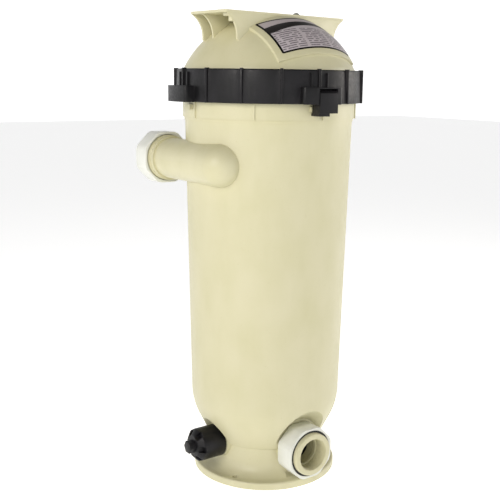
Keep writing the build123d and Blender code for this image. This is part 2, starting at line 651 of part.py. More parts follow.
# ---------------------------------------------------------------- unions
def union_end(face):
    """The flanged pipe end that the nut pulls against the spigot."""
    with BuildPart() as end:
        with BuildSketch(face.offset(MOVE_GAP)):
            Circle(END_FLANGE_R)
        extrude(amount=END_FLANGE_T)
        with BuildSketch(face.offset(MOVE_GAP)):
            Circle(END_BARREL_R)
        extrude(amount=END_LEN - MOVE_GAP)
        mouth = end.edges().filter_by(GeomType.CIRCLE).sort_by(Axis(face.origin, face.z_dir))[-1]
        chamfer(mouth, END_CHAMFER)
        with BuildSketch(face):
            Circle(PORT_R)
        extrude(amount=END_LEN, mode=Mode.SUBTRACT)
        with BuildSketch(face.offset(END_LEN)):
            Circle(END_BORE_R)
        extrude(amount=-END_BORE_DEPTH, mode=Mode.SUBTRACT)
        with BuildSketch(face.offset(MOVE_GAP)):
            Circle(FACE_RING_R + FACE_RING_D / 2)
            Circle(FACE_RING_R - FACE_RING_D / 2, mode=Mode.SUBTRACT)
        extrude(amount=FACE_RING_D, mode=Mode.SUBTRACT)
    return end


def union_nut(face):
    """An eight-sided nut with rounded corners, a lip in front and a seat for its gasket."""
    front = NUT_LEN - NUT_BACK
    with BuildPart() as nut:
        with BuildSketch(face.offset(-NUT_BACK)):
            RegularPolygon(NUT_FLAT_R, NUT_SIDES, major_radius=False, rotation=180 / NUT_SIDES)
        extrude(amount=NUT_LEN)
        with BuildSketch(face.offset(-NUT_BACK)):
            Circle(NUT_R)
        extrude(amount=NUT_LEN, mode=Mode.INTERSECT)
        with BuildSketch(face.offset(-NUT_BACK)):
            Circle(SPIGOT_CREST_R + 2 * MOVE_GAP)
        extrude(amount=NUT_LEN - NUT_LIP_T, mode=Mode.SUBTRACT)
        with BuildSketch(face):
            Circle(END_BARREL_R + MOVE_GAP)
        extrude(amount=front, mode=Mode.SUBTRACT)
        with BuildSketch(face.offset(front)):
            Circle(NUT_GASKET_R)
        extrude(amount=-(NUT_GASKET_T + NUT_GASKET_DEPTH), mode=Mode.SUBTRACT)
    return nut


def nut_gasket(face):
    """The black ring seated in the mouth of the nut."""
    with BuildPart() as gasket:
        with BuildSketch(face.offset(NUT_LEN - NUT_BACK - NUT_GASKET_T - NUT_GASKET_DEPTH)):
            Circle(NUT_GASKET_R)
            Circle(END_BARREL_R + MOVE_GAP, mode=Mode.SUBTRACT)
        extrude(amount=NUT_GASKET_T)
    return gasket


for side, face in (("outlet", outlet_face), ("inlet", inlet_face)):
    end = union_end(face)
    end.part.label = side + "_union_end"
    export_step(end.part, "parts/" + end.part.label + ".step")
    nut = union_nut(face)
    nut.part.label = side + "_union_nut"
    export_step(nut.part, "parts/" + nut.part.label + ".step")
    gasket = nut_gasket(face)
    gasket.part.label = side + "_nut_gasket"
    export_step(gasket.part, "parts/" + gasket.part.label + ".step")
    o_ring = torus_ring(FACE_RING_R, FACE_RING_D - FACE_RING_PLAY, face.offset(MOVE_GAP + FACE_RING_D / 2))
    o_ring.part.label = side + "_face_o_ring"
    export_step(o_ring.part, "parts/" + o_ring.part.label + ".step")

# ---------------------------------------------------------------- drain
with BuildPart() as drain_gasket:
    with BuildSketch(drain_face.offset(MOVE_GAP)):
        Circle(DRAIN_PIPE_R - MOVE_GAP)
        Circle(DRAIN_BORE_R + DRAIN_GASKET_W, mode=Mode.SUBTRACT)
    extrude(amount=DRAIN_GASKET_T)
drain_gasket.part.label = "drain_gasket"
export_step(drain_gasket.part, "parts/drain_gasket.step")

# Drain cap: a knob with grip flutes, a hollow thread and a six-sided middle
with BuildPart() as drain_cap:
    with BuildSketch(drain_face.offset(DRAIN_CAP_BACK - DRAIN_END)):
        Circle(DRAIN_CAP_R)
    extrude(amount=DRAIN_CAP_FRONT - DRAIN_CAP_BACK)
    with BuildSketch(drain_face.offset(DRAIN_CAP_FRONT - DRAIN_END)):
        Circle(DRAIN_CAP_R)
    with BuildSketch(drain_face.offset(DRAIN_CAP_FRONT - DRAIN_END + DRAIN_NOSE_LEN)):
        Circle(DRAIN_CAP_R - DRAIN_NOSE_W)
    loft()
    with BuildSketch(drain_face.offset(DRAIN_CAP_FRONT - DRAIN_END - FLUTE_BACK)):
        with PolarLocations(DRAIN_CAP_R - FLUTE_IN, DRAIN_GRIPS):
            RectangleRounded(*GRIP_FLUTE)
    extrude(amount=DRAIN_NOSE_LEN + FLUTE_BACK, mode=Mode.SUBTRACT)
    with BuildSketch(drain_face.offset(DRAIN_CAP_FRONT - DRAIN_END)):
        RegularPolygon(DRAIN_KNOB_R, 6)
    extrude(amount=DRAIN_NOSE_LEN + DRAIN_KNOB_LEN)
    with BuildSketch(drain_face.offset(DRAIN_CAP_BACK - DRAIN_END)):
        Circle(DRAIN_CREST_R + MOVE_GAP)
    extrude(amount=DRAIN_END - DRAIN_CAP_BACK + 2 * MOVE_GAP + DRAIN_GASKET_T, mode=Mode.SUBTRACT)
drain_cap.part.label = "drain_cap"
export_step(drain_cap.part, "parts/drain_cap.step")

# ---------------------------------------------------------------- lid
# The raised pad for the label, a patch of a slightly larger sphere
with BuildPart() as label_pad:
    with BuildSketch(pad_plane.offset(PAD_ROOT)):
        with Locations((0, (PAD_LOW + PAD_HIGH) / 2)):
            Rectangle(2 * PAD_HALF_W, PAD_HIGH - PAD_LOW)
    extrude(amount=PAD_R)
    with Locations((0, 0, DOME_CENTRE_Z)):
        Sphere(PAD_R, mode=Mode.INTERSECT)
    with BuildSketch(Plane.XY.offset(HANDLE_BOTTOM_Z)):
        Circle(2 * PAD_R)
    extrude(amount=PAD_R, mode=Mode.SUBTRACT)

with BuildPart() as lid_inside:
    with BuildSketch(Plane.XZ):
        with BuildLine():
            Polyline(
                (0, DOME_CENTRE_Z + inner_r),
                (0, spigot_z),
                (LID_SPIGOT_IN_R, spigot_z),
                (LID_SPIGOT_IN_R, inner_meet_z),
            )
            RadiusArc((LID_SPIGOT_IN_R, inner_meet_z), (0, DOME_CENTRE_Z + inner_r), -inner_r)
        make_face()
    revolve(axis=Axis.Z)

with BuildPart() as lid:
    # Dome, flange and spigot, filled
    with BuildSketch(Plane.XZ):
        with BuildLine():
            Polyline(
                (0, DOME_CENTRE_Z + DOME_R),
                (0, spigot_z),
                (LID_SPIGOT_R - LID_LEAD_IN[0], spigot_z),
                (LID_SPIGOT_R, spigot_z + LID_LEAD_IN[1]),
                (LID_SPIGOT_R, LID_FLANGE_Z),
                (LID_FLANGE_R, LID_FLANGE_Z),
                (LID_FLANGE_R, LID_FLANGE_Z + LID_FLANGE_T),
                (LID_NECK_R, LID_FLANGE_Z + LID_FLANGE_T),
                (LID_NECK_R, neck_top_z),
            )
            RadiusArc((LID_NECK_R, neck_top_z), (0, DOME_CENTRE_Z + DOME_R), -DOME_R)
        make_face()
    revolve(axis=Axis.Z)
    add(label_pad.part)

    # Handle: a plate across the top, standing on two walls and a rib with hollow ends
    with BuildSketch(lid_plane.offset(HANDLE_BOTTOM_Z)):
        RectangleRounded(2 * HANDLE_HALF_L, HANDLE_W, HANDLE_CORNER_R)
    extrude(amount=HANDLE_T)
    outer_wall_y = (HANDLE_W - HANDLE_WALL) / 2 - HANDLE_EDGE
    tip = HANDLE_HALF_L - HANDLE_TIP
    bend_r = HANDLE_NECK + HANDLE_BEND[0]
    bend_z = LID_TOP_Z - HANDLE_BEND[1]
    root_r = HANDLE_NECK - HANDLE_ROOT[0]
    root_z = HANDLE_WAIST_Z - HANDLE_ROOT[1]
    for middle, thick in ((-outer_wall_y, HANDLE_WALL), (RIB_Y, RIB_T), (outer_wall_y, HANDLE_WALL)):
        with BuildSketch(lid_side.offset(-middle - thick / 2)):
            with BuildLine():
                Polyline(
                    (-HANDLE_NECK, HANDLE_WAIST_Z),
                    (-root_r, root_z),
                    (root_r, root_z),
                    (HANDLE_NECK, HANDLE_WAIST_Z),
                )
                ThreePointArc((HANDLE_NECK, HANDLE_WAIST_Z), (bend_r, bend_z), (tip, HANDLE_BOTTOM_Z))
                Line((tip, HANDLE_BOTTOM_Z), (-tip, HANDLE_BOTTOM_Z))
                ThreePointArc((-tip, HANDLE_BOTTOM_Z), (-bend_r, bend_z), (-HANDLE_NECK, HANDLE_WAIST_Z))
            make_face()
        extrude(amount=thick)

    # Stepped stiffeners behind the front wall
    wall_back_y = -HANDLE_W / 2 + HANDLE_WALL
    for step, depth in enumerate(STEP_DEPTHS):
        with BuildSketch(lid_plane.offset(HANDLE_BOTTOM_Z - depth)):
            with Locations((0, (STEP_Y + wall_back_y - step * STEP_W) / 2)):
                Rectangle(
                    2 * (HANDLE_HALF_L - STEP_END) - step * STEP_END,
                    STEP_Y - wall_back_y + HANDLE_WALL - step * STEP_W,
                )
        extrude(amount=depth)

    # Boss for the air relief, then the hollow inside
    with BuildSketch(lid_plane.offset(HANDLE_WAIST_Z)):
        with Locations((RELIEF_X, 0)):
            Circle(RELIEF_BOSS_R)
    extrude(amount=LID_TOP_Z - HANDLE_WAIST_Z)
    add(lid_inside.part, mode=Mode.SUBTRACT)
    with BuildSketch(Plane.XY.offset(LID_TOP_Z)):
        Circle(DOME_R)
    extrude(amount=LID_WALL, mode=Mode.SUBTRACT)
    with BuildSketch(lid_plane.offset(LID_TOP_Z)):
        with Locations((RELIEF_X, 0)):
            Circle(RELIEF_BORE_R)
    extrude(amount=-(LID_TOP_Z - relief_seat_z), mode=Mode.SUBTRACT)
    with BuildSketch(lid_plane.offset(LID_TOP_Z)):
        with Locations((RELIEF_X, 0)):
            Circle(RELIEF_SEAT_R)
    extrude(amount=-4 * RELIEF_BOSS_R, mode=Mode.SUBTRACT)

    # Groove for the O-ring
    with BuildSketch(Plane.XY.offset(lid_groove_z - LID_RING_D / 2)):
        Circle(LID_FLANGE_R)
        Circle(LID_SPIGOT_R - LID_RING_D + MOVE_GAP, mode=Mode.SUBTRACT)
    extrude(amount=LID_RING_D, mode=Mode.SUBTRACT)
lid.part.label = "lid"
export_step(lid.part, "parts/lid.step")

lid_o_ring = torus_ring(
    LID_SPIGOT_R - LID_RING_D / 2 + MOVE_GAP,
    LID_RING_D - 2 * MOVE_GAP,
    Plane.XY.offset(lid_groove_z),
)
lid_o_ring.part.label = "lid_o_ring"
export_step(lid_o_ring.part, "parts/lid_o_ring.step")

with BuildPart() as lid_label:
    with BuildSketch(pad_plane.offset(PAD_ROOT)):
        with Locations((0, (LABEL_LOW + LABEL_HIGH) / 2)):
            RectangleRounded(2 * LABEL_HALF_W, LABEL_HIGH - LABEL_LOW, LABEL_CORNER_R)
    extrude(amount=PAD_R)
    with Locations((0, 0, DOME_CENTRE_Z)):
        Sphere(PAD_R + LABEL_T, mode=Mode.INTERSECT)
        Sphere(PAD_R, mode=Mode.SUBTRACT)
lid_label.part.label = "lid_label"
export_step(lid_label.part, "parts/lid_label.step")

# Air relief: a domed stem whose point closes the vent, and its O-ring
with BuildPart() as relief_stem:
    with BuildSketch(lid_plane.offset(relief_seat_z + MOVE_GAP)):
        with Locations((RELIEF_X, 0)):
            Circle(RELIEF_BORE_R - MOVE_GAP)
    extrude(amount=LID_TOP_Z - relief_seat_z)
    with BuildSketch(lid_plane.offset(LID_TOP_Z + MOVE_GAP)):
        with Locations((RELIEF_X, 0)):
            Circle(RELIEF_KNOB_R)
    extrude(amount=RELIEF_KNOB_H)
    knob_top_z = LID_TOP_Z + MOVE_GAP + RELIEF_KNOB_H
    with Locations(lid_plane.offset(knob_top_z).from_local_coords((RELIEF_X, 0, 0))):
        Sphere(RELIEF_KNOB_R, arc_size1=0)
        with Locations((0, 0, RELIEF_KNOB_R - RELIEF_SLOT[1])):
            Box(
                2 * RELIEF_KNOB_R,
                RELIEF_SLOT[0],
                2 * RELIEF_SLOT[1],
                rotation=(0, 0, LID_TURN + RELIEF_SLOT_TURN),
                align=(Align.CENTER, Align.CENTER, Align.MIN),
                mode=Mode.SUBTRACT,
            )
    with Locations(lid_plane.offset(relief_ring_z).from_local_coords((RELIEF_X, 0, 0))):
        Torus(RELIEF_BORE_R - MOVE_GAP, RELIEF_RING_D, mode=Mode.SUBTRACT)
relief_stem.part.label = "relief_stem"
export_step(relief_stem.part, "parts/relief_stem.step")

relief_o_ring = torus_ring(
    RELIEF_BORE_R - PIN_FIT - RELIEF_RING_D / 2,
    RELIEF_RING_D,
    Plane(origin=lid_plane.offset(relief_ring_z).from_local_coords((RELIEF_X, 0, 0))),
)
relief_o_ring.part.label = "relief_o_ring"
export_step(relief_o_ring.part, "parts/relief_o_ring.step")

# ---------------------------------------------------------------- lock ring
with BuildPart() as lock_ring:
    with BuildSketch(Plane.XZ):
        with BuildLine():
            Polyline(
                (RING_ROOT_R, RING_Z),
                (RING_R_LOW - RING_FOOT_EDGE, RING_Z),
                (RING_R_LOW, RING_Z + RING_FOOT_EDGE),
                (RING_R_HIGH, RING_TOP_Z - RING_EDGE),
                (RING_R_HIGH - RING_EDGE, RING_TOP_Z),
                (LID_NECK_R + RING_LIP_GAP, RING_TOP_Z),
                (LID_NECK_R + RING_LIP_GAP, LIP_Z),
                (RING_ROOT_R, LIP_Z),
                (RING_ROOT_R, RING_Z),
            )
        make_face()
    revolve(axis=Axis.Z)
    with BuildSketch(ring_plane.offset(RING_Z)):
        with PolarLocations((RING_RIB_R + RIB_ROOT_R) / 2, RING_RIBS):
            RectangleRounded(RING_RIB_R - RIB_ROOT_R, RING_RIB_W, RING_RIB_TOP)
    extrude(amount=RING_TOP_Z - RING_Z + RING_RIB_TOP)

    # Grip lugs with three short ribs above each
    with BuildSketch(ring_plane.offset(RING_Z)):
        with PolarLocations(0, LUG_COUNT):
            add(sector(RIB_ROOT_R, LUG_R, LUG_ANGLE))
        outer_corners = vertices().filter_by(lambda corner: Vector(corner.X, corner.Y).length > RING_R_LOW)
        fillet(outer_corners, LUG_CORNER_R)
    extrude(amount=LUG_H)
    for shift in (-GUSSET_ANGLE, GUSSET_ANGLE):
        with BuildSketch(ring_plane.rotated((0, 0, shift)).offset(LUG_TOP_Z)):
            with PolarLocations((RING_RIB_R + RING_ROOT_R) / 2, LUG_COUNT):
                Rectangle(RING_RIB_R - RING_ROOT_R - 2 * RING_FOOT_EDGE, GUSSET_W)
        extrude(amount=GUSSET_H)

    # Thread crests inside
    for turn in range(CREST_COUNT):
        with BuildSketch(Plane.XY.offset(LIP_Z - RING_CREST_DROP - turn * CREST_PITCH)):
            Circle(RING_ROOT_R + MOVE_GAP)
            Circle(THREAD_IN_R, mode=Mode.SUBTRACT)
        extrude(amount=CREST_W)

    # Slot and pin hole for the latch in the front lug
    with BuildSketch(latch_plane.offset(-SLOT_W / 2)):
        with Locations(((SLOT_DEPTH_R + LUG_R + LUG_STEP) / 2, (RING_Z - LUG_H + SLOT_TOP_Z) / 2)):
            Rectangle(LUG_R + LUG_STEP - SLOT_DEPTH_R, SLOT_TOP_Z - RING_Z + LUG_H)
    extrude(amount=SLOT_W, mode=Mode.SUBTRACT)
    with BuildSketch(latch_plane.offset(-PIN_LEN / 2)):
        with Locations((PIN_AT_R, PIN_AT_Z)):
            Circle(PIN_R)
    extrude(amount=PIN_LEN, mode=Mode.SUBTRACT)
lock_ring.part.label = "lock_ring"
export_step(lock_ring.part, "parts/lock_ring.step")

# ---------------------------------------------------------------- latch
with BuildPart() as latch_pin:
    with BuildSketch(latch_plane.offset(-PIN_LEN / 2)):
        with Locations((PIN_AT_R, PIN_AT_Z)):
            Circle(PIN_R)
    extrude(amount=PIN_LEN)
latch_pin.part.label = "latch_pin"
export_step(latch_pin.part, "parts/latch_pin.step")

with BuildPart() as safety_latch:
    with BuildSketch(latch_plane.offset(-LATCH_W / 2)):
        with BuildLine():
            Polyline(
                (LATCH_IN_R, LATCH_LOW_Z),
                (LATCH_OUT_R, LATCH_LOW_Z),
                (LATCH_OUT_R, LATCH_TOP_Z - LATCH_BEVEL),
                (LATCH_OUT_R - LATCH_BEVEL, LATCH_TOP_Z),
                (LATCH_IN_R + LATCH_BEVEL / 2, LATCH_TOP_Z),
                (LATCH_IN_R, LATCH_TOP_Z - LATCH_BEVEL / 2),
                (LATCH_IN_R, LATCH_LOW_Z),
            )
        make_face()
    extrude(amount=LATCH_W)
    with BuildSketch(latch_plane.offset(-LATCH_W / 2)):
        with BuildLine():
            Polyline(
                (TAB_IN_R, LATCH_LOW_Z),
                (LATCH_OUT_R, LATCH_LOW_Z),
                (LATCH_OUT_R, RING_Z - TAB_DROP),
                (TAB_IN_R, RING_Z - TAB_DROP),
                (TAB_IN_R, LATCH_LOW_Z),
            )
        make_face()
    extrude(amount=LATCH_W)
    with BuildSketch(latch_plane.offset(TOOTH_SHIFT - TOOTH_W / 2)):
        with BuildLine():
            Polyline(
                (TOOTH_R, TOOTH_Z),
                (LATCH_OUT_R - TOOTH_BACK, TOOTH_Z),
                (LATCH_OUT_R - TOOTH_BACK, LATCH_LOW_Z),
                (CATCH_R + TOOTH_BACK, LATCH_LOW_Z + TAB_DROP),
                (TOOTH_R, LATCH_LOW_Z),
                (TOOTH_R, TOOTH_Z),
            )
        make_face()
    extrude(amount=TOOTH_W)
    with BuildSketch(latch_plane.offset(-LATCH_W)):
        with Locations((PIN_AT_R, PIN_AT_Z)):
            Circle(PIN_R + PIN_FIT)
    extrude(amount=2 * LATCH_W, mode=Mode.SUBTRACT)
    pocket_w, pocket_depth, pocket_h = SPRING_POCKET
    with BuildSketch(latch_plane.offset(-pocket_w / 2)):
        with Locations((PIN_AT_R + SPRING_R + SPRING_WIRE + MOVE_GAP - pocket_depth / 2, PIN_AT_Z)):
            Rectangle(pocket_depth, pocket_h)
    extrude(amount=pocket_w, mode=Mode.SUBTRACT)
safety_latch.part.label = "safety_latch"
export_step(safety_latch.part, "parts/safety_latch.step")

# Torsion spring wound round the pin
with BuildPart() as latch_spring:
    spring_start = latch_plane.from_local_coords((PIN_AT_R, PIN_AT_Z, -SPRING_LEN / 2))
    with BuildLine():
        pitch = SPRING_LEN / SPRING_TURNS
        coil = Helix(pitch, SPRING_LEN, SPRING_R, center=spring_start, direction=latch_plane.z_dir)
    with BuildSketch(Plane(origin=coil @ 0, z_dir=coil % 0)):
        Circle(SPRING_WIRE / 2)
    sweep(path=coil, is_frenet=True)
latch_spring.part.label = "latch_spring"
export_step(latch_spring.part, "parts/latch_spring.step")

# ---------------------------------------------------------------- filter cartridge
cap_hole_r = HUB_R + CAP_BORE_GAP


def end_cap(start, up, hole):
    """A moulded end cap with a lip round the ends of the pleats."""
    with BuildPart() as cap:
        with BuildSketch(Plane.XY.offset(start)):
            Circle(ELEMENT_R)
            Circle(hole, mode=Mode.SUBTRACT)
        extrude(amount=up * CAP_T)
        with BuildSketch(Plane.XY.offset(start)):
            Circle(ELEMENT_R)
            Circle(ELEMENT_R - CAP_LIP_T, mode=Mode.SUBTRACT)
        extrude(amount=up * (CAP_T + CAP_LIP))
        outer_face = cap.edges().filter_by(GeomType.CIRCLE).group_by(Axis.Z)[0 if up > 0 else -1]
        fillet(outer_face.sort_by(SortBy.RADIUS)[-1], CAP_R)
    return cap


cartridge_bottom_cap = end_cap(ELEMENT_Z, 1, cap_hole_r)
cartridge_bottom_cap.part.label = "cartridge_bottom_cap"
export_step(cartridge_bottom_cap.part, "parts/cartridge_bottom_cap.step")

# The upper end cap carries a lifting ring with finger windows
with BuildPart() as cartridge_top_cap:
    add(end_cap(ELEMENT_TOP_Z, -1, STRAINER_R + STRAINER_GAP).part)
    with BuildSketch(Plane.XY.offset(ELEMENT_TOP_Z)):
        Circle(GRIP_R)
        Circle(GRIP_R - GRIP_W, mode=Mode.SUBTRACT)
    extrude(amount=GRIP_H)
    with BuildSketch(Plane.XY.offset(ELEMENT_TOP_Z)):
        with PolarLocations(GRIP_R, GRIP_WINDOWS):
            Rectangle(3 * GRIP_W, GRIP_WINDOW_W)
    extrude(amount=GRIP_H - GRIP_BAR, mode=Mode.SUBTRACT)
cartridge_top_cap.part.label = "cartridge_top_cap"
export_step(cartridge_top_cap.part, "parts/cartridge_top_cap.step")

with BuildPart() as cartridge_media:
    with BuildSketch(Plane.XY.offset(ELEMENT_Z + CAP_T)):
        step = 360 / PLEATS
        tip = degrees(PLEAT_TIP_W / 2 / PLEAT_OUT_R)
        root = degrees(PLEAT_TIP_W / 2 / PLEAT_IN_R) / 2
        corners = []
        for pleat in range(PLEATS):
            middle = pleat * step
            for radius, angle in (
                (PLEAT_OUT_R, middle - tip),
                (PLEAT_OUT_R, middle + tip),
                (PLEAT_IN_R, middle + step / 2 - root),
                (PLEAT_IN_R, middle + step / 2 + root),
            ):
                corners.append((radius * cos(radians(angle)), radius * sin(radians(angle))))
        with BuildLine():
            Polyline(*corners, close=True)
        make_face()
        Circle(MEDIA_BORE_R, mode=Mode.SUBTRACT)
    extrude(amount=ELEMENT_L - 2 * CAP_T)
cartridge_media.part.label = "cartridge_media"
export_step(cartridge_media.part, "parts/cartridge_media.step")

with BuildPart() as cartridge_core:
    with BuildSketch(Plane.XY.offset(ELEMENT_Z + CAP_T)):
        Circle(CORE_R)
        Circle(CORE_R - CORE_WALL, mode=Mode.SUBTRACT)
    extrude(amount=ELEMENT_L - 2 * CAP_T)
    row_pitch = (ELEMENT_L - 2 * CAP_T) / CORE_ROWS
    for row in range(CORE_ROWS):
        height = ELEMENT_Z + CAP_T + (row + 0.5) * row_pitch
        for pair in range(CORE_HOLES // 2):
            heading = (pair + 0.5 * (row % 2)) * 360 / CORE_HOLES
            with Locations(Location((0, 0, height), (90, 0, heading))):
                Cylinder(CORE_HOLE_R, 3 * CORE_R, mode=Mode.SUBTRACT)
cartridge_core.part.label = "cartridge_core"
export_step(cartridge_core.part, "parts/cartridge_core.step")

with BuildPart() as cartridge_bands:
    for band in range(BAND_COUNT):
        height = ELEMENT_Z + ELEMENT_L * (band + 1) / (BAND_COUNT + 1)
        with BuildSketch(Plane.XY.offset(height - BAND_H / 2)):
            Circle(PLEAT_OUT_R + PIN_FIT + BAND_T)
            Circle(PLEAT_OUT_R + PIN_FIT, mode=Mode.SUBTRACT)
        extrude(amount=BAND_H)
cartridge_bands.part.label = "cartridge_bands"
export_step(cartridge_bands.part, "parts/cartridge_bands.step")
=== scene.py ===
"""Looks of an upright pool and spa cartridge filter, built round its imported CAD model."""
import logging
import math
from dataclasses import dataclass, field
from enum import Enum

import bmesh
import bpy
from mathutils import Matrix, Vector


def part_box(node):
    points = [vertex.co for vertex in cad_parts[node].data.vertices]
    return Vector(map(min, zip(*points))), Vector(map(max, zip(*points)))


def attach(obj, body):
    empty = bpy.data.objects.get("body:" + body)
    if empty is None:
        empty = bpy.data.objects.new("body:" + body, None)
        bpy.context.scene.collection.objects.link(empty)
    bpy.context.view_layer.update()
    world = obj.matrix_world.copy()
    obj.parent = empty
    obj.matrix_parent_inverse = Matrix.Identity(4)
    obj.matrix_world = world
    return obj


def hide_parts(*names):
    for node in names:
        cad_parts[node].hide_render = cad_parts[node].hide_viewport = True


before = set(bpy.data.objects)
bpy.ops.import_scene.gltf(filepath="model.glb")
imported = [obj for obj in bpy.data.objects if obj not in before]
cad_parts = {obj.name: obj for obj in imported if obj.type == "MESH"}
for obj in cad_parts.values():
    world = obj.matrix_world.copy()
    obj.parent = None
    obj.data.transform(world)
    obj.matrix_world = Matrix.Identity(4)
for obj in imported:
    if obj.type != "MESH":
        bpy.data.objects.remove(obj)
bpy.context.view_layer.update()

LOG = logging.getLogger("cartridge_filter")
MM = 0.001
# Corners of a CAD mesh that lie nearer than this are one corner
WELD_MM = 0.002
# Neighbouring facets that turn by less than this are one flat face
FLAT_DEG = 0.6
# Edges that turn by more than this are rounded
EDGE_DEG = 38.0
ROUNDING_FACETS = 2
# Edges that turn by more than this are shaded as creases
CREASE_DEG = 35.0
# Places of a Mix node's colour sockets, whose names stand for its other kinds too
MIX_A = 6
MIX_B = 7
MIXED = 2
# What feeds a node: for each input's name or number, a value, a socket or another node
Inputs = dict[str | int, object]


class Slot(Enum):
    """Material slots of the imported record."""

    TANK = "tank_plastic"
    INNER = "inner_plastic"
    BLACK = "black_plastic"
    NUT = "white_pvc"
    GREY = "grey_plastic"
    RUBBER = "rubber_black"
    LABEL = "label_film"
    STEEL = "steel"
    END_CAP = "end_cap_blue"
    MEDIA = "pleated_media"


class Side(Enum):
    """The two unions of the tank."""

    OUTLET = "outlet"
    INLET = "inlet"


# ------------------------------------------------------------------ node helpers
def linear(hex_colour: str) -> tuple[float, float, float, float]:
    """Turn an sRGB hex colour into the linear colour that a shader works in.

    Args:
        hex_colour: six hex digits, such as "e6dfba".

    Returns:
        Red, green, blue and alpha, each from 0 to 1.
    """
    channels = [int(hex_colour[start:start + 2], 16) / 255 for start in (0, 2, 4)]
    curve = [c / 12.92 if c <= 0.04045 else ((c + 0.055) / 1.055) ** 2.4 for c in channels]
    return (*curve, 1.0)


def add(tree: bpy.types.NodeTree, kind: str, inputs: Inputs | None = None,
        **settings: object) -> bpy.types.Node:
    """Add a node, set its own properties, and feed its inputs.

    Args:
        tree: the material's or geometry's node tree.
        kind: the node's type name.
        inputs: for each input's name or number, a value, an output socket of another node,
            or another node, which stands for its first output.
        settings: the node's own properties.

    Returns:
        The new node.
    """
    node = tree.nodes.new(kind)
    for name, value in settings.items():
        setattr(node, name, value)
    for key, value in (inputs or {}).items():
        source = value.outputs[0] if isinstance(value, bpy.types.Node) else value
        if isinstance(source, bpy.types.NodeSocket):
            tree.links.new(source, node.inputs[key])
        else:
            node.inputs[key].default_value = source
    return node


def per_mm(size_mm: float) -> float:
    """Give a texture's scale for features of a size in millimetres, on coordinates in metres."""
    return 1 / (size_mm * MM)


# ------------------------------------------------------------------ finishes
@dataclass(frozen=True)
class Finish:
    """A surface finish, made into a material the first time that it is asked for."""

    name: str
    colour: str
    roughness: float
    ior: float = 1.5
    specular: float = 0.5

    def material(self) -> bpy.types.Material:
        """Build the finish's material, once.

        Returns:
            The material, the same one each time.
        """
        found = bpy.data.materials.get(self.name)
        if found is not None:
            return found
        made = bpy.data.materials.new(self.name)
        made.use_nodes = True
        tree = made.node_tree
        tree.nodes.clear()
        plain = {"Base Color": linear(self.colour), "Roughness": self.roughness, "IOR": self.ior,
                 "Specular IOR Level": self.specular}
        shader = add(tree, "ShaderNodeBsdfPrincipled", plain | self.pattern(tree))
        add(tree, "ShaderNodeOutputMaterial", {"Surface": shader})
        return made

    def pattern(self, tree: bpy.types.NodeTree) -> Inputs:
        """Give the shader inputs that the finish adds or varies; a plain finish has none."""
        return {}

    def noise(self, tree: bpy.types.NodeTree, size_mm: float, detail: float = 3.0,
              stretch: tuple[float, float, float] = (1.0, 1.0, 1.0)) -> bpy.types.NodeSocket:
        """Add a noise on the piece's own coordinates.

        Args:
            tree: the material's node tree.
            size_mm: the size of one patch.
            detail: how many finer layers the noise has.
            stretch: how much the pattern is squeezed along each axis.

        Returns:
            The noise's value.
        """
        place = add(tree, "ShaderNodeTexCoord").outputs["Object"]
        mapped = add(tree, "ShaderNodeMapping", {"Vector": place, "Scale": stretch})
        inputs = {"Vector": mapped, "Scale": per_mm(size_mm), "Detail": detail}
        return add(tree, "ShaderNodeTexNoise", inputs).outputs["Fac"]


@dataclass(frozen=True)
class MouldedPlastic(Finish):
    """Injection-moulded plastic: mottled colour, flow lines and a fine spark-eroded grain.

    The colour drifts a little over a hand's width, faint streaks run along the mould's
    draw, and the grain breaks up the highlight, so that it looks satin and not glazed.
    """

    shade: str = "000000"
    drift: float = 0.5
    patch_mm: float = 70.0
    streak_squeeze: float = 0.4
    grain_mm: float = 0.9
    grain_depth_mm: float = 0.02
    dull_spots_per_patch: float = 9.0
    rough_spread: float = 0.08
    speck: str | None = None
    speck_mm: float = 3.5
    speck_strength: float = 0.35

    def pattern(self, tree: bpy.types.NodeTree) -> Inputs:
        """Mix the two colours, vary the roughness and raise the grain.

        Args:
            tree: the material's node tree.

        Returns:
            The shader's colour, roughness and normal.
        """
        patches = self.noise(tree, self.patch_mm, detail=4.0)
        streaks = self.noise(tree, self.patch_mm / 2, detail=2.0, stretch=(1.0, 1.0, self.streak_squeeze))
        blend = add(tree, "ShaderNodeMath", {0: patches, 1: streaks}, operation="MULTIPLY")
        share = add(tree, "ShaderNodeMapRange", {
            "Value": blend, "From Min": 0.1, "From Max": 0.45, "To Max": self.drift})
        colour = add(tree, "ShaderNodeMix", {
            "Factor": share, MIX_A: linear(self.colour), MIX_B: linear(self.shade)}, data_type="RGBA")
        if self.speck is not None:
            dots = add(tree, "ShaderNodeMapRange", {
                "Value": self.noise(tree, self.speck_mm, detail=1.0), "From Min": 0.66, "From Max": 0.8,
                "To Max": self.speck_strength})
            colour = add(tree, "ShaderNodeMix", {
                "Factor": dots, MIX_A: colour.outputs[MIXED], MIX_B: linear(self.speck)}, data_type="RGBA")
        rough = add(tree, "ShaderNodeMapRange", {
            "Value": self.noise(tree, self.patch_mm / self.dull_spots_per_patch, detail=5.0),
            "From Min": 0.3, "From Max": 0.7,
            "To Min": self.roughness - self.rough_spread, "To Max": self.roughness + self.rough_spread})
        bump = add(tree, "ShaderNodeBump", {
            "Height": self.noise(tree, self.grain_mm, detail=2.0), "Strength": 1.0,
            "Distance": self.grain_depth_mm * MM})
        return {"Base Color": colour.outputs[MIXED], "Roughness": rough, "Normal": bump}


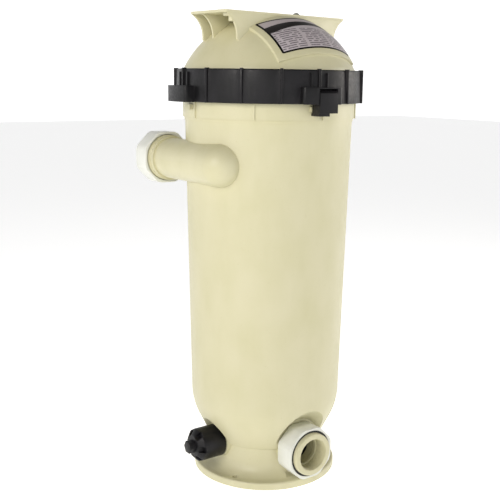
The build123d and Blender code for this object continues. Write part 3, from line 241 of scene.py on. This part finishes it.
@dataclass(frozen=True)
class MouldedRubber(Finish):
    """EPDM rubber: near black, with a dull bloom in soft patches and a slight skin texture."""

    bloom: str = "2b2b2c"
    bloom_mm: float = 9.0
    skin_mm: float = 0.8
    skin_depth_mm: float = 0.02

    def pattern(self, tree: bpy.types.NodeTree) -> Inputs:
        """Mix in the bloom and raise the skin.

        Args:
            tree: the material's node tree.

        Returns:
            The shader's colour and normal.
        """
        colour = add(tree, "ShaderNodeMix", {
            "Factor": self.noise(tree, self.bloom_mm, detail=4.0), MIX_A: linear(self.colour),
            MIX_B: linear(self.bloom)}, data_type="RGBA")
        bump = add(tree, "ShaderNodeBump", {
            "Height": self.noise(tree, self.skin_mm, detail=2.0), "Strength": 1.0,
            "Distance": self.skin_depth_mm * MM})
        return {"Base Color": colour.outputs[MIXED], "Normal": bump}


@dataclass(frozen=True)
class DrawnSteel(Finish):
    """Stainless wire and pin stock: fine drawing lines round the metal, and a grey lustre."""

    line_mm: float = 1.2
    line_squeeze: float = 6.0
    smoother: float = 0.1
    rougher: float = 0.15

    def pattern(self, tree: bpy.types.NodeTree) -> Inputs:
        """Make it metal, with lines that vary the roughness.

        Args:
            tree: the material's node tree.

        Returns:
            The shader's metallic share and roughness.
        """
        lines = self.noise(tree, self.line_mm, stretch=(1.0, self.line_squeeze, self.line_squeeze))
        rough = add(tree, "ShaderNodeMapRange", {
            "Value": lines, "To Min": self.roughness - self.smoother,
            "To Max": self.roughness + self.rougher})
        return {"Metallic": 1.0, "Roughness": rough}


@dataclass(frozen=True)
class SpunPolyester(Finish):
    """Spunbonded polyester cloth: matted fibres, drawn at 0.8 mm so that they show, in soft white."""

    shade: str = "d9dad2"
    fibre_mm: float = 0.8
    fibre_squeeze: float = 0.35
    fibre_depth_mm: float = 0.08
    sheen: float = 0.3

    def pattern(self, tree: bpy.types.NodeTree) -> Inputs:
        """Mottle the cloth, raise its fibres and give it a soft sheen.

        Args:
            tree: the material's node tree.

        Returns:
            The shader's colour, sheen and normal.
        """
        fibres = self.noise(tree, self.fibre_mm, detail=5.0, stretch=(1.0, 1.0, self.fibre_squeeze))
        colour = add(tree, "ShaderNodeMix", {
            "Factor": fibres, MIX_A: linear(self.colour), MIX_B: linear(self.shade)}, data_type="RGBA")
        bump = add(tree, "ShaderNodeBump", {
            "Height": fibres, "Strength": 1.0, "Distance": self.fibre_depth_mm * MM})
        return {"Base Color": colour.outputs[MIXED], "Sheen Weight": self.sheen, "Normal": bump}


@dataclass(frozen=True)
class LitPaper(Finish):
    """Background paper lit from below, so that the floor stays white out to the horizon."""

    glow: float = 0.62

    def pattern(self, tree: bpy.types.NodeTree) -> Inputs:
        """Give the paper its own faint light."""
        return {"Emission Color": linear(self.colour), "Emission Strength": self.glow}


@dataclass(frozen=True)
class PrintedFilm(Finish):
    """A printed polyester label: border, title strip, dark curved band and rows of plain bars.

    The bars stand for small print and hold no lettering. The film reads the label's own
    UV map, which runs from 0 to 1 across and up, and places on the label are given so.
    """

    ink: str = "0a0807"
    band: str = "1c1816"
    strip: str = "b3a9aa"
    print_grey: str = "6a6367"
    width_mm: float = 150.0
    height_mm: float = 80.0
    cloud_mm: float = 12.0
    side_border: float = 0.02
    end_border: float = 0.038
    droop: float = 0.32
    strip_low: float = 0.84
    band_low: float = 0.63
    band_taper: float = 0.12
    columns: float = 3.0
    column_span: tuple[float, float] = (0.07, 0.95)
    print_span: tuple[float, float] = (0.07, 0.6)
    line_mm: float = 4.4
    bar_span: tuple[float, float] = (0.25, 0.68)
    word_mm: float = 6.5
    word_span: tuple[float, float] = (0.43, 1.0)

    def pattern(self, tree: bpy.types.NodeTree) -> Inputs:
        """Lay the print over the film, layer on layer.

        Args:
            tree: the material's node tree.

        Returns:
            The shader's colour.
        """
        place = add(tree, "ShaderNodeSeparateXYZ", {0: add(tree, "ShaderNodeTexCoord").outputs["UV"]})
        across, up = place.outputs[:2]
        # Height above a line that droops towards the sides, as the strip and the band do
        off_centre = add(tree, "ShaderNodeMath", {0: across, 1: 0.5}, operation="SUBTRACT")
        squared = add(tree, "ShaderNodeMath", {0: off_centre, 1: off_centre}, operation="MULTIPLY")
        arched = add(tree, "ShaderNodeMath", {0: squared, 1: self.droop, 2: up}, operation="MULTIPLY_ADD")
        strip = add(tree, "ShaderNodeMath", {0: arched, 1: self.strip_low}, operation="GREATER_THAN")
        # The band is broad at its left end and thins out towards the right
        thinned = add(tree, "ShaderNodeMath", {0: across, 1: -self.band_taper, 2: arched},
                      operation="MULTIPLY_ADD")
        band = add(tree, "ShaderNodeMath", {0: thinned, 1: self.band_low}, operation="GREATER_THAN")
        # Small print: lines of bars, broken into words by a noise, in even columns
        row = add(tree, "ShaderNodeMath", {0: up, 1: self.height_mm / self.line_mm}, operation="MULTIPLY")
        line = add(tree, "ShaderNodeMath", {0: row}, operation="FLOOR")
        in_line = add(tree, "ShaderNodeMath", {0: row}, operation="FRACT")
        along = add(tree, "ShaderNodeMath", {0: across, 1: self.width_mm / self.word_mm},
                    operation="MULTIPLY")
        spot = add(tree, "ShaderNodeCombineXYZ", {0: along, 1: line})
        words = add(tree, "ShaderNodeTexNoise", {
            "Vector": spot, "Scale": 1.0, "Detail": 0.0}).outputs["Fac"]
        column = add(tree, "ShaderNodeMath", {0: across, 1: self.columns}, operation="MULTIPLY")
        in_column = add(tree, "ShaderNodeMath", {0: column}, operation="FRACT")
        bars = self.mask(tree, (in_line, *self.bar_span), (words, *self.word_span),
                         (in_column, *self.column_span), (up, *self.print_span))
        panel = self.mask(tree, (across, self.side_border, 1 - self.side_border),
                          (up, self.end_border, 1 - self.end_border))
        rim = add(tree, "ShaderNodeMath", {0: 1.0, 1: panel}, operation="SUBTRACT")
        sheet = add(tree, "ShaderNodeMix", {
            "Factor": self.noise(tree, self.cloud_mm), MIX_A: linear(self.colour),
            MIX_B: linear(self.strip)}, data_type="RGBA")
        layers = ((self.band, band), (self.strip, strip), (self.print_grey, bars), (self.ink, rim))
        for ink, where in layers:
            sheet = add(tree, "ShaderNodeMix", {
                "Factor": where, MIX_A: sheet.outputs[MIXED], MIX_B: linear(ink)}, data_type="RGBA")
        return {"Base Color": sheet.outputs[MIXED]}

    def mask(self, tree: bpy.types.NodeTree, *spans: tuple) -> bpy.types.Node:
        """Mark where several values lie each in its own span.

        Args:
            tree: the material's node tree.
            spans: for each test, the value, and the low and the high end of its span.

        Returns:
            A node that gives 1 where all the values are in their spans, else 0.
        """
        marked = 1.0
        for value, low, high in spans:
            inputs = {0: value, 1: (low + high) / 2, 2: (high - low) / 2}
            inside = add(tree, "ShaderNodeMath", inputs, operation="COMPARE")
            marked = add(tree, "ShaderNodeMath", {0: inside, 1: marked}, operation="MULTIPLY")
        return marked


# Almond ABS, moulded in a spark-eroded tool: warm cream that drifts towards khaki, satin highlights
TANK_PLASTIC = MouldedPlastic("almond_abs_moulded", "cfcaa9", 0.4, shade="c1bd92",
                              grain_depth_mm=0.012, speck="c2bc93")
# Glass-filled polypropylene, moulded: near black, with soft purple-grey clouds and a coarse dull grain
BLACK_PLASTIC = MouldedPlastic("black_glass_filled_polypropylene", "0b0b0c", 0.42, shade="1b191d",
                               drift=0.9, patch_mm=40.0, grain_depth_mm=0.03, rough_spread=0.1,
                               specular=0.28)
# Painted shade: the collector's dull moulded wall is coloured near black, so that the ports' depths stay
# dark
COLLECTOR_PAINTED_SHADE = MouldedPlastic("collector_painted_shade", "23231f", 0.45, shade="2f2e28", patch_mm=30.0)
# Rigid white PVC, moulded: cool white with a faint grey cast and a clear highlight
NUT_PVC = MouldedPlastic("white_rigid_pvc", "e2e3dc", 0.36, shade="d4d6ca", patch_mm=30.0,
                         grain_depth_mm=0.01)
# Acetal, moulded: slick mid grey with the sharpest highlight of the plastics, as on small knobs
GREY_PLASTIC = MouldedPlastic("grey_acetal_moulded", "8d8f85", 0.3, shade="6f7168", patch_mm=12.0,
                              grain_depth_mm=0.008)
# Polystyrene, moulded: the cartridge's plain white core and bands
INNER_PLASTIC = MouldedPlastic("white_polystyrene_moulded", "e4e5e1", 0.4, shade="d2d4cf", patch_mm=40.0)
# Urethane, cast round the pleats' ends: blue, slightly waxy, with the mould's shallow ripples
END_CAP = MouldedPlastic("blue_cast_urethane", "2f62a8", 0.38, shade="244f8d", patch_mm=25.0,
                         grain_mm=2.5, grain_depth_mm=0.03)
# EPDM rubber, moulded: gaskets and O-rings, near black and dull
RUBBER = MouldedRubber("black_epdm_rubber", "151516", 0.62)
# Stainless steel, drawn: pin and spring wire
STEEL = DrawnSteel("stainless_steel_drawn", "b9bbbd", 0.3)
# Polyester, spunbonded and pleated: matt soft white cloth
MEDIA = SpunPolyester("white_spunbonded_polyester", "f1f1ea", 0.85)
# Polyester film, printed: silver-grey stock under near-black print, with a soft gloss
LABEL = PrintedFilm("printed_polyester_film", "c2bbc0", 0.38, specular=0.25)


# ------------------------------------------------------------------ mesh helpers
def wear(piece: bpy.types.Object, finish: Finish) -> None:
    """Give a piece one finish all over.

    Args:
        piece: the piece or CAD node.
        finish: what it is made of.
    """
    piece.data.materials.clear()
    piece.data.materials.append(finish.material())


def new_piece(name: str, mesh: bpy.types.Mesh) -> bpy.types.Object:
    """Make an object of a mesh at the origin and link it to the scene.

    Args:
        name: the object's name.
        mesh: its mesh, which holds its place.

    Returns:
        The new object.
    """
    piece = bpy.data.objects.new(name, mesh)
    bpy.context.scene.collection.objects.link(piece)
    return piece


def put_back(shape: bmesh.types.BMesh, mesh: bpy.types.Mesh) -> None:
    """Write an edited shape to its mesh and close it."""
    shape.to_mesh(mesh)
    shape.free()


def bake(piece: bpy.types.Object) -> None:
    """Turn a piece and its modifiers into a plain mesh.

    Args:
        piece: the piece, which keeps its name and loses its modifiers.
    """
    graph = bpy.context.evaluated_depsgraph_get()
    mesh = bpy.data.meshes.new_from_object(piece.evaluated_get(graph), depsgraph=graph)
    piece.modifiers.clear()
    piece.data = mesh


def smooth(piece: bpy.types.Object, crease_deg: float = CREASE_DEG) -> bpy.types.Object:
    """Shade a piece smooth, and keep its sharper edges.

    Args:
        piece: the piece.
        crease_deg: edges that turn by more than this stay sharp.

    Returns:
        The same piece.
    """
    piece.data.shade_smooth()
    piece.data.set_sharp_from_angle(angle=math.radians(crease_deg))
    return piece


def welded(node: str, name: str) -> tuple[bpy.types.Object, bmesh.types.BMesh]:
    """Copy a CAD node, whose triangles are loose, and join the corners that they share.

    Args:
        node: the CAD node.
        name: the new piece's name.

    Returns:
        The new piece and its joined shape, open for editing.
    """
    piece = new_piece(name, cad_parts[node].data.copy())
    shape = bmesh.new()
    shape.from_mesh(piece.data)
    bmesh.ops.remove_doubles(shape, verts=shape.verts, dist=WELD_MM * MM)
    return piece, shape


def softened(node: str, name: str, width_mm: float) -> bpy.types.Object:
    """Copy a CAD node's shape and round its edges, as a mould leaves them.

    Args:
        node: the CAD node.
        name: the new piece's name.
        width_mm: width of the rounding.

    Returns:
        The new piece, a plain mesh that stands for the node.
    """
    piece, shape = welded(node, name)
    bmesh.ops.dissolve_limit(
        shape, angle_limit=math.radians(FLAT_DEG), verts=shape.verts, edges=shape.edges)
    put_back(shape, piece.data)
    # The CAD mesh's own creases would stay sharp where the edges become round
    for layer in ("custom_normal", "sharp_face", "sharp_edge"):
        if layer in piece.data.attributes:
            piece.data.attributes.remove(piece.data.attributes[layer])
    edge = piece.modifiers.new("rounding", "BEVEL")
    edge.width = width_mm * MM
    edge.segments = ROUNDING_FACETS
    edge.limit_method = "ANGLE"
    edge.angle_limit = math.radians(EDGE_DEG)
    edge.use_clamp_overlap = True
    bake(piece)
    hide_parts(node)
    return smooth(piece)


class Recipe:
    """A Geometry Nodes tree with named inputs, run once and turned into a plain mesh."""

    def __init__(self, name: str, sizes: dict[str, float | int], finish: Finish) -> None:
        """Start a tree.

        Args:
            name: the tree's name, and the name of the piece that it makes.
            sizes: named sizes, which become the modifier's inputs.
            finish: the finish that the tree sets on what it makes.
        """
        self.name = name
        self.sizes = sizes
        self.finish = finish
        self.tree = bpy.data.node_groups.new(name, "GeometryNodeTree")
        self.identifiers: dict[str, str] = {}
        for label, value in sizes.items():
            kind = "NodeSocketInt" if isinstance(value, int) else "NodeSocketFloat"
            socket = self.tree.interface.new_socket(label, in_out="INPUT", socket_type=kind)
            self.identifiers[label] = socket.identifier
        self.tree.interface.new_socket("Geometry", in_out="OUTPUT", socket_type="NodeSocketGeometry")
        self.group = self.tree.nodes.new("NodeGroupInput")

    def size(self, label: str) -> bpy.types.NodeSocket:
        """Give the socket of a named size."""
        return self.group.outputs[label]

    def node(self, kind: str, inputs: Inputs | None = None, **settings: object) -> bpy.types.Node:
        """Add a node to the tree."""
        return add(self.tree, kind, inputs, **settings)

    def run(self, geometry: bpy.types.Node, placed: Matrix) -> bpy.types.Object:
        """Finish the tree, run it and keep its result.

        Args:
            geometry: the last node, whose first output is the shape.
            placed: where the result goes in the frame.

        Returns:
            A plain mesh at the origin, with its place in its mesh.
        """
        real = self.node("GeometryNodeRealizeInstances", {0: geometry})
        dressed = self.node("GeometryNodeSetMaterial", {0: real, "Material": self.finish.material()})
        self.node("NodeGroupOutput", {0: dressed})
        piece = new_piece(self.name, bpy.data.meshes.new(self.name))
        modifier = piece.modifiers.new(self.name, "NODES")
        modifier.node_group = self.tree
        for label, value in self.sizes.items():
            modifier[self.identifiers[label]] = value
        bake(piece)
        piece.data.transform(placed)
        return piece


# ------------------------------------------------------------------ sub-assemblies
@dataclass
class SubAssembly:
    """A part of the filter: the CAD nodes that it dresses and the pieces that it adds."""

    made: list[bpy.types.Object] = field(default_factory=list)

    def dress(self, finish: Finish, slot: Slot, *nodes: str) -> None:
        """Put a finish on CAD nodes that keep their shape.

        Args:
            finish: what the nodes are made of.
            slot: not used.
            nodes: the CAD nodes' names.
        """
        for node in nodes:
            wear(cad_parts[node], finish)
            LOG.info("%s: %s", node, finish.name)

    def keep(self, piece: bpy.types.Object, body: str, finish: Finish, slot: Slot) -> bpy.types.Object:
        """Dress a new piece and let it ride on its body.

        Args:
            piece: the new piece.
            body: the moving body that carries it.
            finish: what it is made of.
            slot: not used.

        Returns:
            The same piece.
        """
        wear(piece, finish)
        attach(piece, body)
        self.made.append(piece)
        LOG.info("%s: %d faces, on %s", piece.name, len(piece.data.polygons), body)
        return piece


@dataclass
class Tank(SubAssembly):
    """The tank body and what is fixed inside it."""

    def build(self) -> None:
        """Dress the tank, the collector and the air bleed."""
        self.dress(TANK_PLASTIC, Slot.TANK, "tank_body")
        # The collector and the bleed tube wear the near black of painted shade, for the ports' dark depths
        self.dress(COLLECTOR_PAINTED_SHADE, Slot.INNER, "outlet_collector", "bleed_tube")
        self.dress(RUBBER, Slot.RUBBER, "hub_o_ring")
        self.dress(BLACK_PLASTIC, Slot.BLACK, "bleed_strainer")


@dataclass
class Union(SubAssembly):
    """A union: the white nut, its black gasket and the threaded pipe end."""

    side: Side = Side.OUTLET
    nut_edge_mm: float = 1.2
    end_edge_mm: float = 0.7
    thread_r_mm: float = 27.8
    thread_pitch_mm: float = 2.2
    thread_turns: int = 9
    thread_inset_mm: float = 3.0
    points_per_turn: int = 64
    ridge_r_mm: float = 0.45
    ridge_sides: int = 6

    def build(self) -> None:
        """Make the nut and the pipe end with rounded edges, and the thread in its mouth."""
        side = self.side.value
        nut = softened(f"{side}_union_nut", f"{side}_nut_body", self.nut_edge_mm)
        self.keep(nut, f"{side}_nut", NUT_PVC, Slot.NUT)
        end = softened(f"{side}_union_end", f"{side}_end_body", self.end_edge_mm)
        self.keep(end, f"{side}_end", TANK_PLASTIC, Slot.TANK)
        self.dress(RUBBER, Slot.RUBBER, f"{side}_nut_gasket", f"{side}_face_o_ring")
        self.keep(self.thread(), f"{side}_end", TANK_PLASTIC, Slot.TANK)

    def thread(self) -> bpy.types.Object:
        """Make the pipe thread's ridges, half sunk in the mouth's wall.

        Returns:
            The ridges, one long helix.
        """
        side = self.side.value
        length = self.thread_turns * self.thread_pitch_mm * MM
        recipe = Recipe(f"{side}_end_thread", {
            "Radius": self.thread_r_mm * MM, "Turns": float(self.thread_turns), "Length": length,
            "Points per turn": self.points_per_turn, "Ridge radius": self.ridge_r_mm * MM,
            "Ridge sides": self.ridge_sides}, TANK_PLASTIC)
        helix = recipe.node("GeometryNodeCurveSpiral", {
            "Resolution": recipe.size("Points per turn"), "Rotations": recipe.size("Turns"),
            "Start Radius": recipe.size("Radius"), "End Radius": recipe.size("Radius"),
            "Height": recipe.size("Length")})
        ridge = recipe.node("GeometryNodeCurvePrimitiveCircle", {
            "Resolution": recipe.size("Ridge sides"), "Radius": recipe.size("Ridge radius")})
        tube = recipe.node("GeometryNodeCurveToMesh", {
            "Curve": helix, "Profile Curve": ridge, "Fill Caps": True})
        low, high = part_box(f"{side}_union_end")
        outward = Vector((0, -1 if self.side is Side.OUTLET else 1, 0))
        mouth = (low + high) / 2
        mouth.y = low.y if self.side is Side.OUTLET else high.y
        start = mouth - outward * (length + self.thread_inset_mm * MM)
        turned = outward.to_track_quat("Z", "Y").to_matrix().to_4x4()
        return smooth(recipe.run(tube, Matrix.Translation(start) @ turned))


@dataclass
class Drain(SubAssembly):
    """The black drain cap and its gasket."""

    edge_mm: float = 0.8

    def build(self) -> None:
        """Round the cap's edges and dress the gasket."""
        cap = softened("drain_cap", "drain_cap_body", self.edge_mm)
        self.keep(cap, "drain_plug", BLACK_PLASTIC, Slot.BLACK)
        self.dress(RUBBER, Slot.RUBBER, "drain_gasket")


@dataclass
class Lid(SubAssembly):
    """The lid with its label and air relief."""

    shell_edge_mm: float = 0.7
    knob_edge_mm: float = 0.5
    label_turn_deg: float = 6.0
    label_tilt_deg: float = 40.0

    def build(self) -> None:
        """Round the lid's and the relief knob's edges, and print the label."""
        self.keep(softened("lid", "lid_shell", self.shell_edge_mm), "lid_body", TANK_PLASTIC, Slot.TANK)
        self.dress(RUBBER, Slot.RUBBER, "lid_o_ring", "relief_o_ring")
        knob = softened("relief_stem", "relief_knob", self.knob_edge_mm)
        self.keep(knob, "relief", GREY_PLASTIC, Slot.GREY)
        label = self.keep(self.label(), "lid_body", LABEL, Slot.LABEL)
        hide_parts("lid_label")

    def label(self) -> bpy.types.Object:
        """Copy the label's patch and lay a UV map over it, across and up its own plane.

        Returns:
            The label, with its print's UV map.
        """
        piece, shape = welded("lid_label", "label_film")
        turn = math.radians(self.label_turn_deg)
        tilt = math.radians(self.label_tilt_deg)
        across = Vector((math.cos(turn), math.sin(turn), 0))
        level = Vector((math.sin(turn), -math.cos(turn), 0))
        outward = level * math.cos(tilt) + Vector((0, 0, math.sin(tilt)))
        up = outward.cross(across)
        spots = {vert: (vert.co.dot(across), vert.co.dot(up)) for vert in shape.verts}
        low = [min(spot[axis] for spot in spots.values()) for axis in (0, 1)]
        span = [max(spot[axis] for spot in spots.values()) - low[axis] for axis in (0, 1)]
        layer = shape.loops.layers.uv.new("print")
        for face in shape.faces:
            for corner in face.loops:
                spot = spots[corner.vert]
                corner[layer].uv = [(spot[axis] - low[axis]) / span[axis] for axis in (0, 1)]
        put_back(shape, piece.data)
        return smooth(piece)


@dataclass
class LockRing(SubAssembly):
    """The lock ring and its safety latch."""

    ring_edge_mm: float = 0.9
    latch_edge_mm: float = 0.8

    def build(self) -> None:
        """Round the ring's and the latch's edges, and dress pin and spring."""
        ring = softened("lock_ring", "lock_ring_body", self.ring_edge_mm)
        self.keep(ring, "ring_body", BLACK_PLASTIC, Slot.BLACK)
        latch = softened("safety_latch", "latch_body", self.latch_edge_mm)
        self.keep(latch, "latch", BLACK_PLASTIC, Slot.BLACK)
        self.dress(STEEL, Slot.STEEL, "latch_pin", "latch_spring")


@dataclass
class Cartridge(SubAssembly):
    """The pleated cartridge: end caps, core, bands and the folded cloth."""

    cap_edge_mm: float = 1.0
    pleats: int = 140
    points_per_pleat: int = 10
    fold_sharpness: float = 0.985
    fold_crease_deg: float = 60.0
    cloth_mm: float = 0.7
    inner_r_mm: float = 49.5
    outer_r_mm: float = 111.0

    def build(self) -> None:
        """Make the cloth and the end caps, and dress core and bands."""
        for end in ("bottom", "top"):
            cap = softened(f"cartridge_{end}_cap", f"{end}_end_cap", self.cap_edge_mm)
            self.keep(cap, "cartridge", END_CAP, Slot.END_CAP)
        self.dress(INNER_PLASTIC, Slot.INNER, "cartridge_core", "cartridge_bands")
        cloth = self.keep(self.cloth(), "cartridge", MEDIA, Slot.MEDIA)
        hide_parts("cartridge_media")

    def cloth(self) -> bpy.types.Object:
        """Fold a strip of cloth into pleats round the core, from one end cap to the other.

        Returns:
            The cloth, closed into a ring, with its real thickness.
        """
        low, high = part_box("cartridge_media")
        recipe = Recipe("pleated_cloth", {
            "Points": self.pleats * self.points_per_pleat, "Points per pleat": float(self.points_per_pleat),
            "Middle radius": (self.inner_r_mm + self.outer_r_mm) / 2 * MM,
            "Half depth": (self.outer_r_mm - self.inner_r_mm) / 2 * MM,
            "Fold sharpness": self.fold_sharpness, "Height": high.z - low.z}, MEDIA)
        circle = recipe.node("GeometryNodeMeshCircle", {"Vertices": recipe.size("Points"), "Radius": 1.0})
        # From a point's number to its radius: a zigzag with slightly rounded tips
        peak = recipe.node("ShaderNodeMath", {0: recipe.size("Fold sharpness")}, operation="ARCSINE")
        steps = (
            ("DIVIDE", recipe.size("Points per pleat")), ("MULTIPLY", math.tau), ("SINE", 0.0),
            ("MULTIPLY", recipe.size("Fold sharpness")), ("ARCSINE", 0.0), ("DIVIDE", peak),
            ("MULTIPLY", recipe.size("Half depth")), ("ADD", recipe.size("Middle radius")))
        radius = recipe.node("GeometryNodeInputIndex")
        for operation, operand in steps:
            radius = recipe.node("ShaderNodeMath", {0: radius, 1: operand}, operation=operation)
        spot = recipe.node("ShaderNodeVectorMath", {
            0: recipe.node("GeometryNodeInputPosition"), "Scale": radius}, operation="SCALE")
        ring = recipe.node("GeometryNodeSetPosition", {"Geometry": circle, "Position": spot})
        wall = recipe.node("GeometryNodeExtrudeMesh", {
            "Mesh": ring, "Offset": recipe.node("ShaderNodeCombineXYZ", {2: recipe.size("Height")}),
            "Offset Scale": 1.0}, mode="EDGES")
        piece = recipe.run(wall, Matrix.Translation((0, 0, low.z)))
        thick = piece.modifiers.new("cloth", "SOLIDIFY")
        thick.thickness = self.cloth_mm * MM
        thick.offset = 0
        bake(piece)
        shape = bmesh.new()
        shape.from_mesh(piece.data)
        bmesh.ops.recalc_face_normals(shape, faces=shape.faces)
        put_back(shape, piece.data)
        return smooth(piece, self.fold_crease_deg)


# ------------------------------------------------------------------ studio
@dataclass(frozen=True)
class SoftLight:
    """A square soft light: its place and size in metres, its power in watts, and its colour."""

    name: str
    place: tuple[float, float, float]
    size: float
    power: float
    colour: str


@dataclass
class Studio:
    """Floor, soft lights and the camera.

    Lengths are in metres and angles in degrees. The studio's walls glow up to wall_top and
    fade to the ceiling at ceiling_edge, which both run from 0 at eye level to 1 overhead.
    """

    lens_mm: float = 61.2
    sensor_mm: float = 36.0
    distance: float = 1.483
    height: float = 0.693
    azimuth: float = -36.0
    pitch: float = 11.3
    roll: float = 0.8
    shift: float = -0.0334
    floor_reach: float = 12.0
    lit_height: float = 0.42
    wall_glow: float = 1.3
    ceiling_glow: float = 0.08
    wall_top: float = 0.12
    ceiling_edge: float = 0.6
    lights: tuple[SoftLight, ...] = (
        SoftLight("key", (-2.2, -0.9, 1.5), 1.0, 27.0, "fffaf4"),
        SoftLight("fill", (2.0, -0.7, 1.0), 1.0, 15.0, "fff8ee"),
        SoftLight("top", (0.3, 1.2, 2.2), 1.2, 4.0, "ffffff"))

    def build(self) -> None:
        """Lay the floor, hang the lights and place the camera."""
        self.floor()
        self.world()
        for light in self.lights:
            self.hang(light)
        self.camera()

    def floor(self) -> None:
        """Make a plain pale floor that runs past the view."""
        shape = bmesh.new()
        bmesh.ops.create_grid(shape, x_segments=1, y_segments=1, size=self.floor_reach)
        mesh = bpy.data.meshes.new("floor")
        put_back(shape, mesh)
        piece = new_piece("floor", mesh)
        mesh.materials.append(LitPaper("floor_paper", "ffffff", 0.9).material())

    def world(self) -> None:
        """Fill the studio with white light that comes from the walls more than from above."""
        made = bpy.data.worlds.new("studio")
        bpy.context.scene.world = made
        made.use_nodes = True
        tree = made.node_tree
        tree.nodes.clear()
        heading = add(tree, "ShaderNodeTexCoord").outputs["Generated"]
        rise = add(tree, "ShaderNodeSeparateXYZ", {0: heading}).outputs[2]
        glow = add(tree, "ShaderNodeMapRange", {
            "Value": rise, "From Min": self.wall_top, "From Max": self.ceiling_edge,
            "To Min": self.wall_glow, "To Max": self.ceiling_glow})
        light = add(tree, "ShaderNodeBackground", {"Color": linear("ffffff"), "Strength": glow})
        add(tree, "ShaderNodeOutputWorld", {"Surface": light})

    def hang(self, light: SoftLight) -> None:
        """Hang a soft light that faces the middle of the filter.

        Args:
            light: the light.
        """
        lamp = bpy.data.lights.new(light.name, "AREA")
        lamp.size = light.size
        lamp.energy = light.power
        lamp.color = linear(light.colour)[:3]
        hung = bpy.data.objects.new(light.name, lamp)
        hung.location = light.place
        target = Vector((0, 0, self.lit_height))
        hung.rotation_euler = (target - hung.location).to_track_quat("-Z", "Y").to_euler()
        bpy.context.scene.collection.objects.link(hung)

    def camera(self) -> None:
        """Place the camera in front and to the left, level with the tank's rim, looking down a little."""
        lens = bpy.data.cameras.new("camera")
        lens.lens = self.lens_mm
        lens.sensor_width = self.sensor_mm
        lens.shift_x = self.shift
        stand = bpy.data.objects.new("camera", lens)
        turn = math.radians(self.azimuth)
        place = Vector((self.distance * math.sin(turn), -self.distance * math.cos(turn), self.height))
        aim = Matrix.Rotation(turn, 4, "Z")
        tilt = Matrix.Rotation(math.radians(90 - self.pitch), 4, "X")
        lean = Matrix.Rotation(math.radians(self.roll), 4, "Z")
        stand.matrix_world = Matrix.Translation(place) @ aim @ tilt @ lean
        bpy.context.scene.collection.objects.link(stand)
        bpy.context.scene.camera = stand


def main() -> None:
    """Build the studio and the filter, sub-assembly by sub-assembly."""
    logging.basicConfig(level=logging.INFO, format="%(message)s")
    bpy.context.scene.view_settings.view_transform = "Standard"
    Studio().build()
    assemblies = [
        Tank(), Union(side=Side.OUTLET), Union(side=Side.INLET), Drain(), Lid(), LockRing(), Cartridge()]
    for assembly in assemblies:
        assembly.build()
        LOG.info("%s done, %d new pieces", type(assembly).__name__, len(assembly.made))


if __name__ == "__main__":
    main()
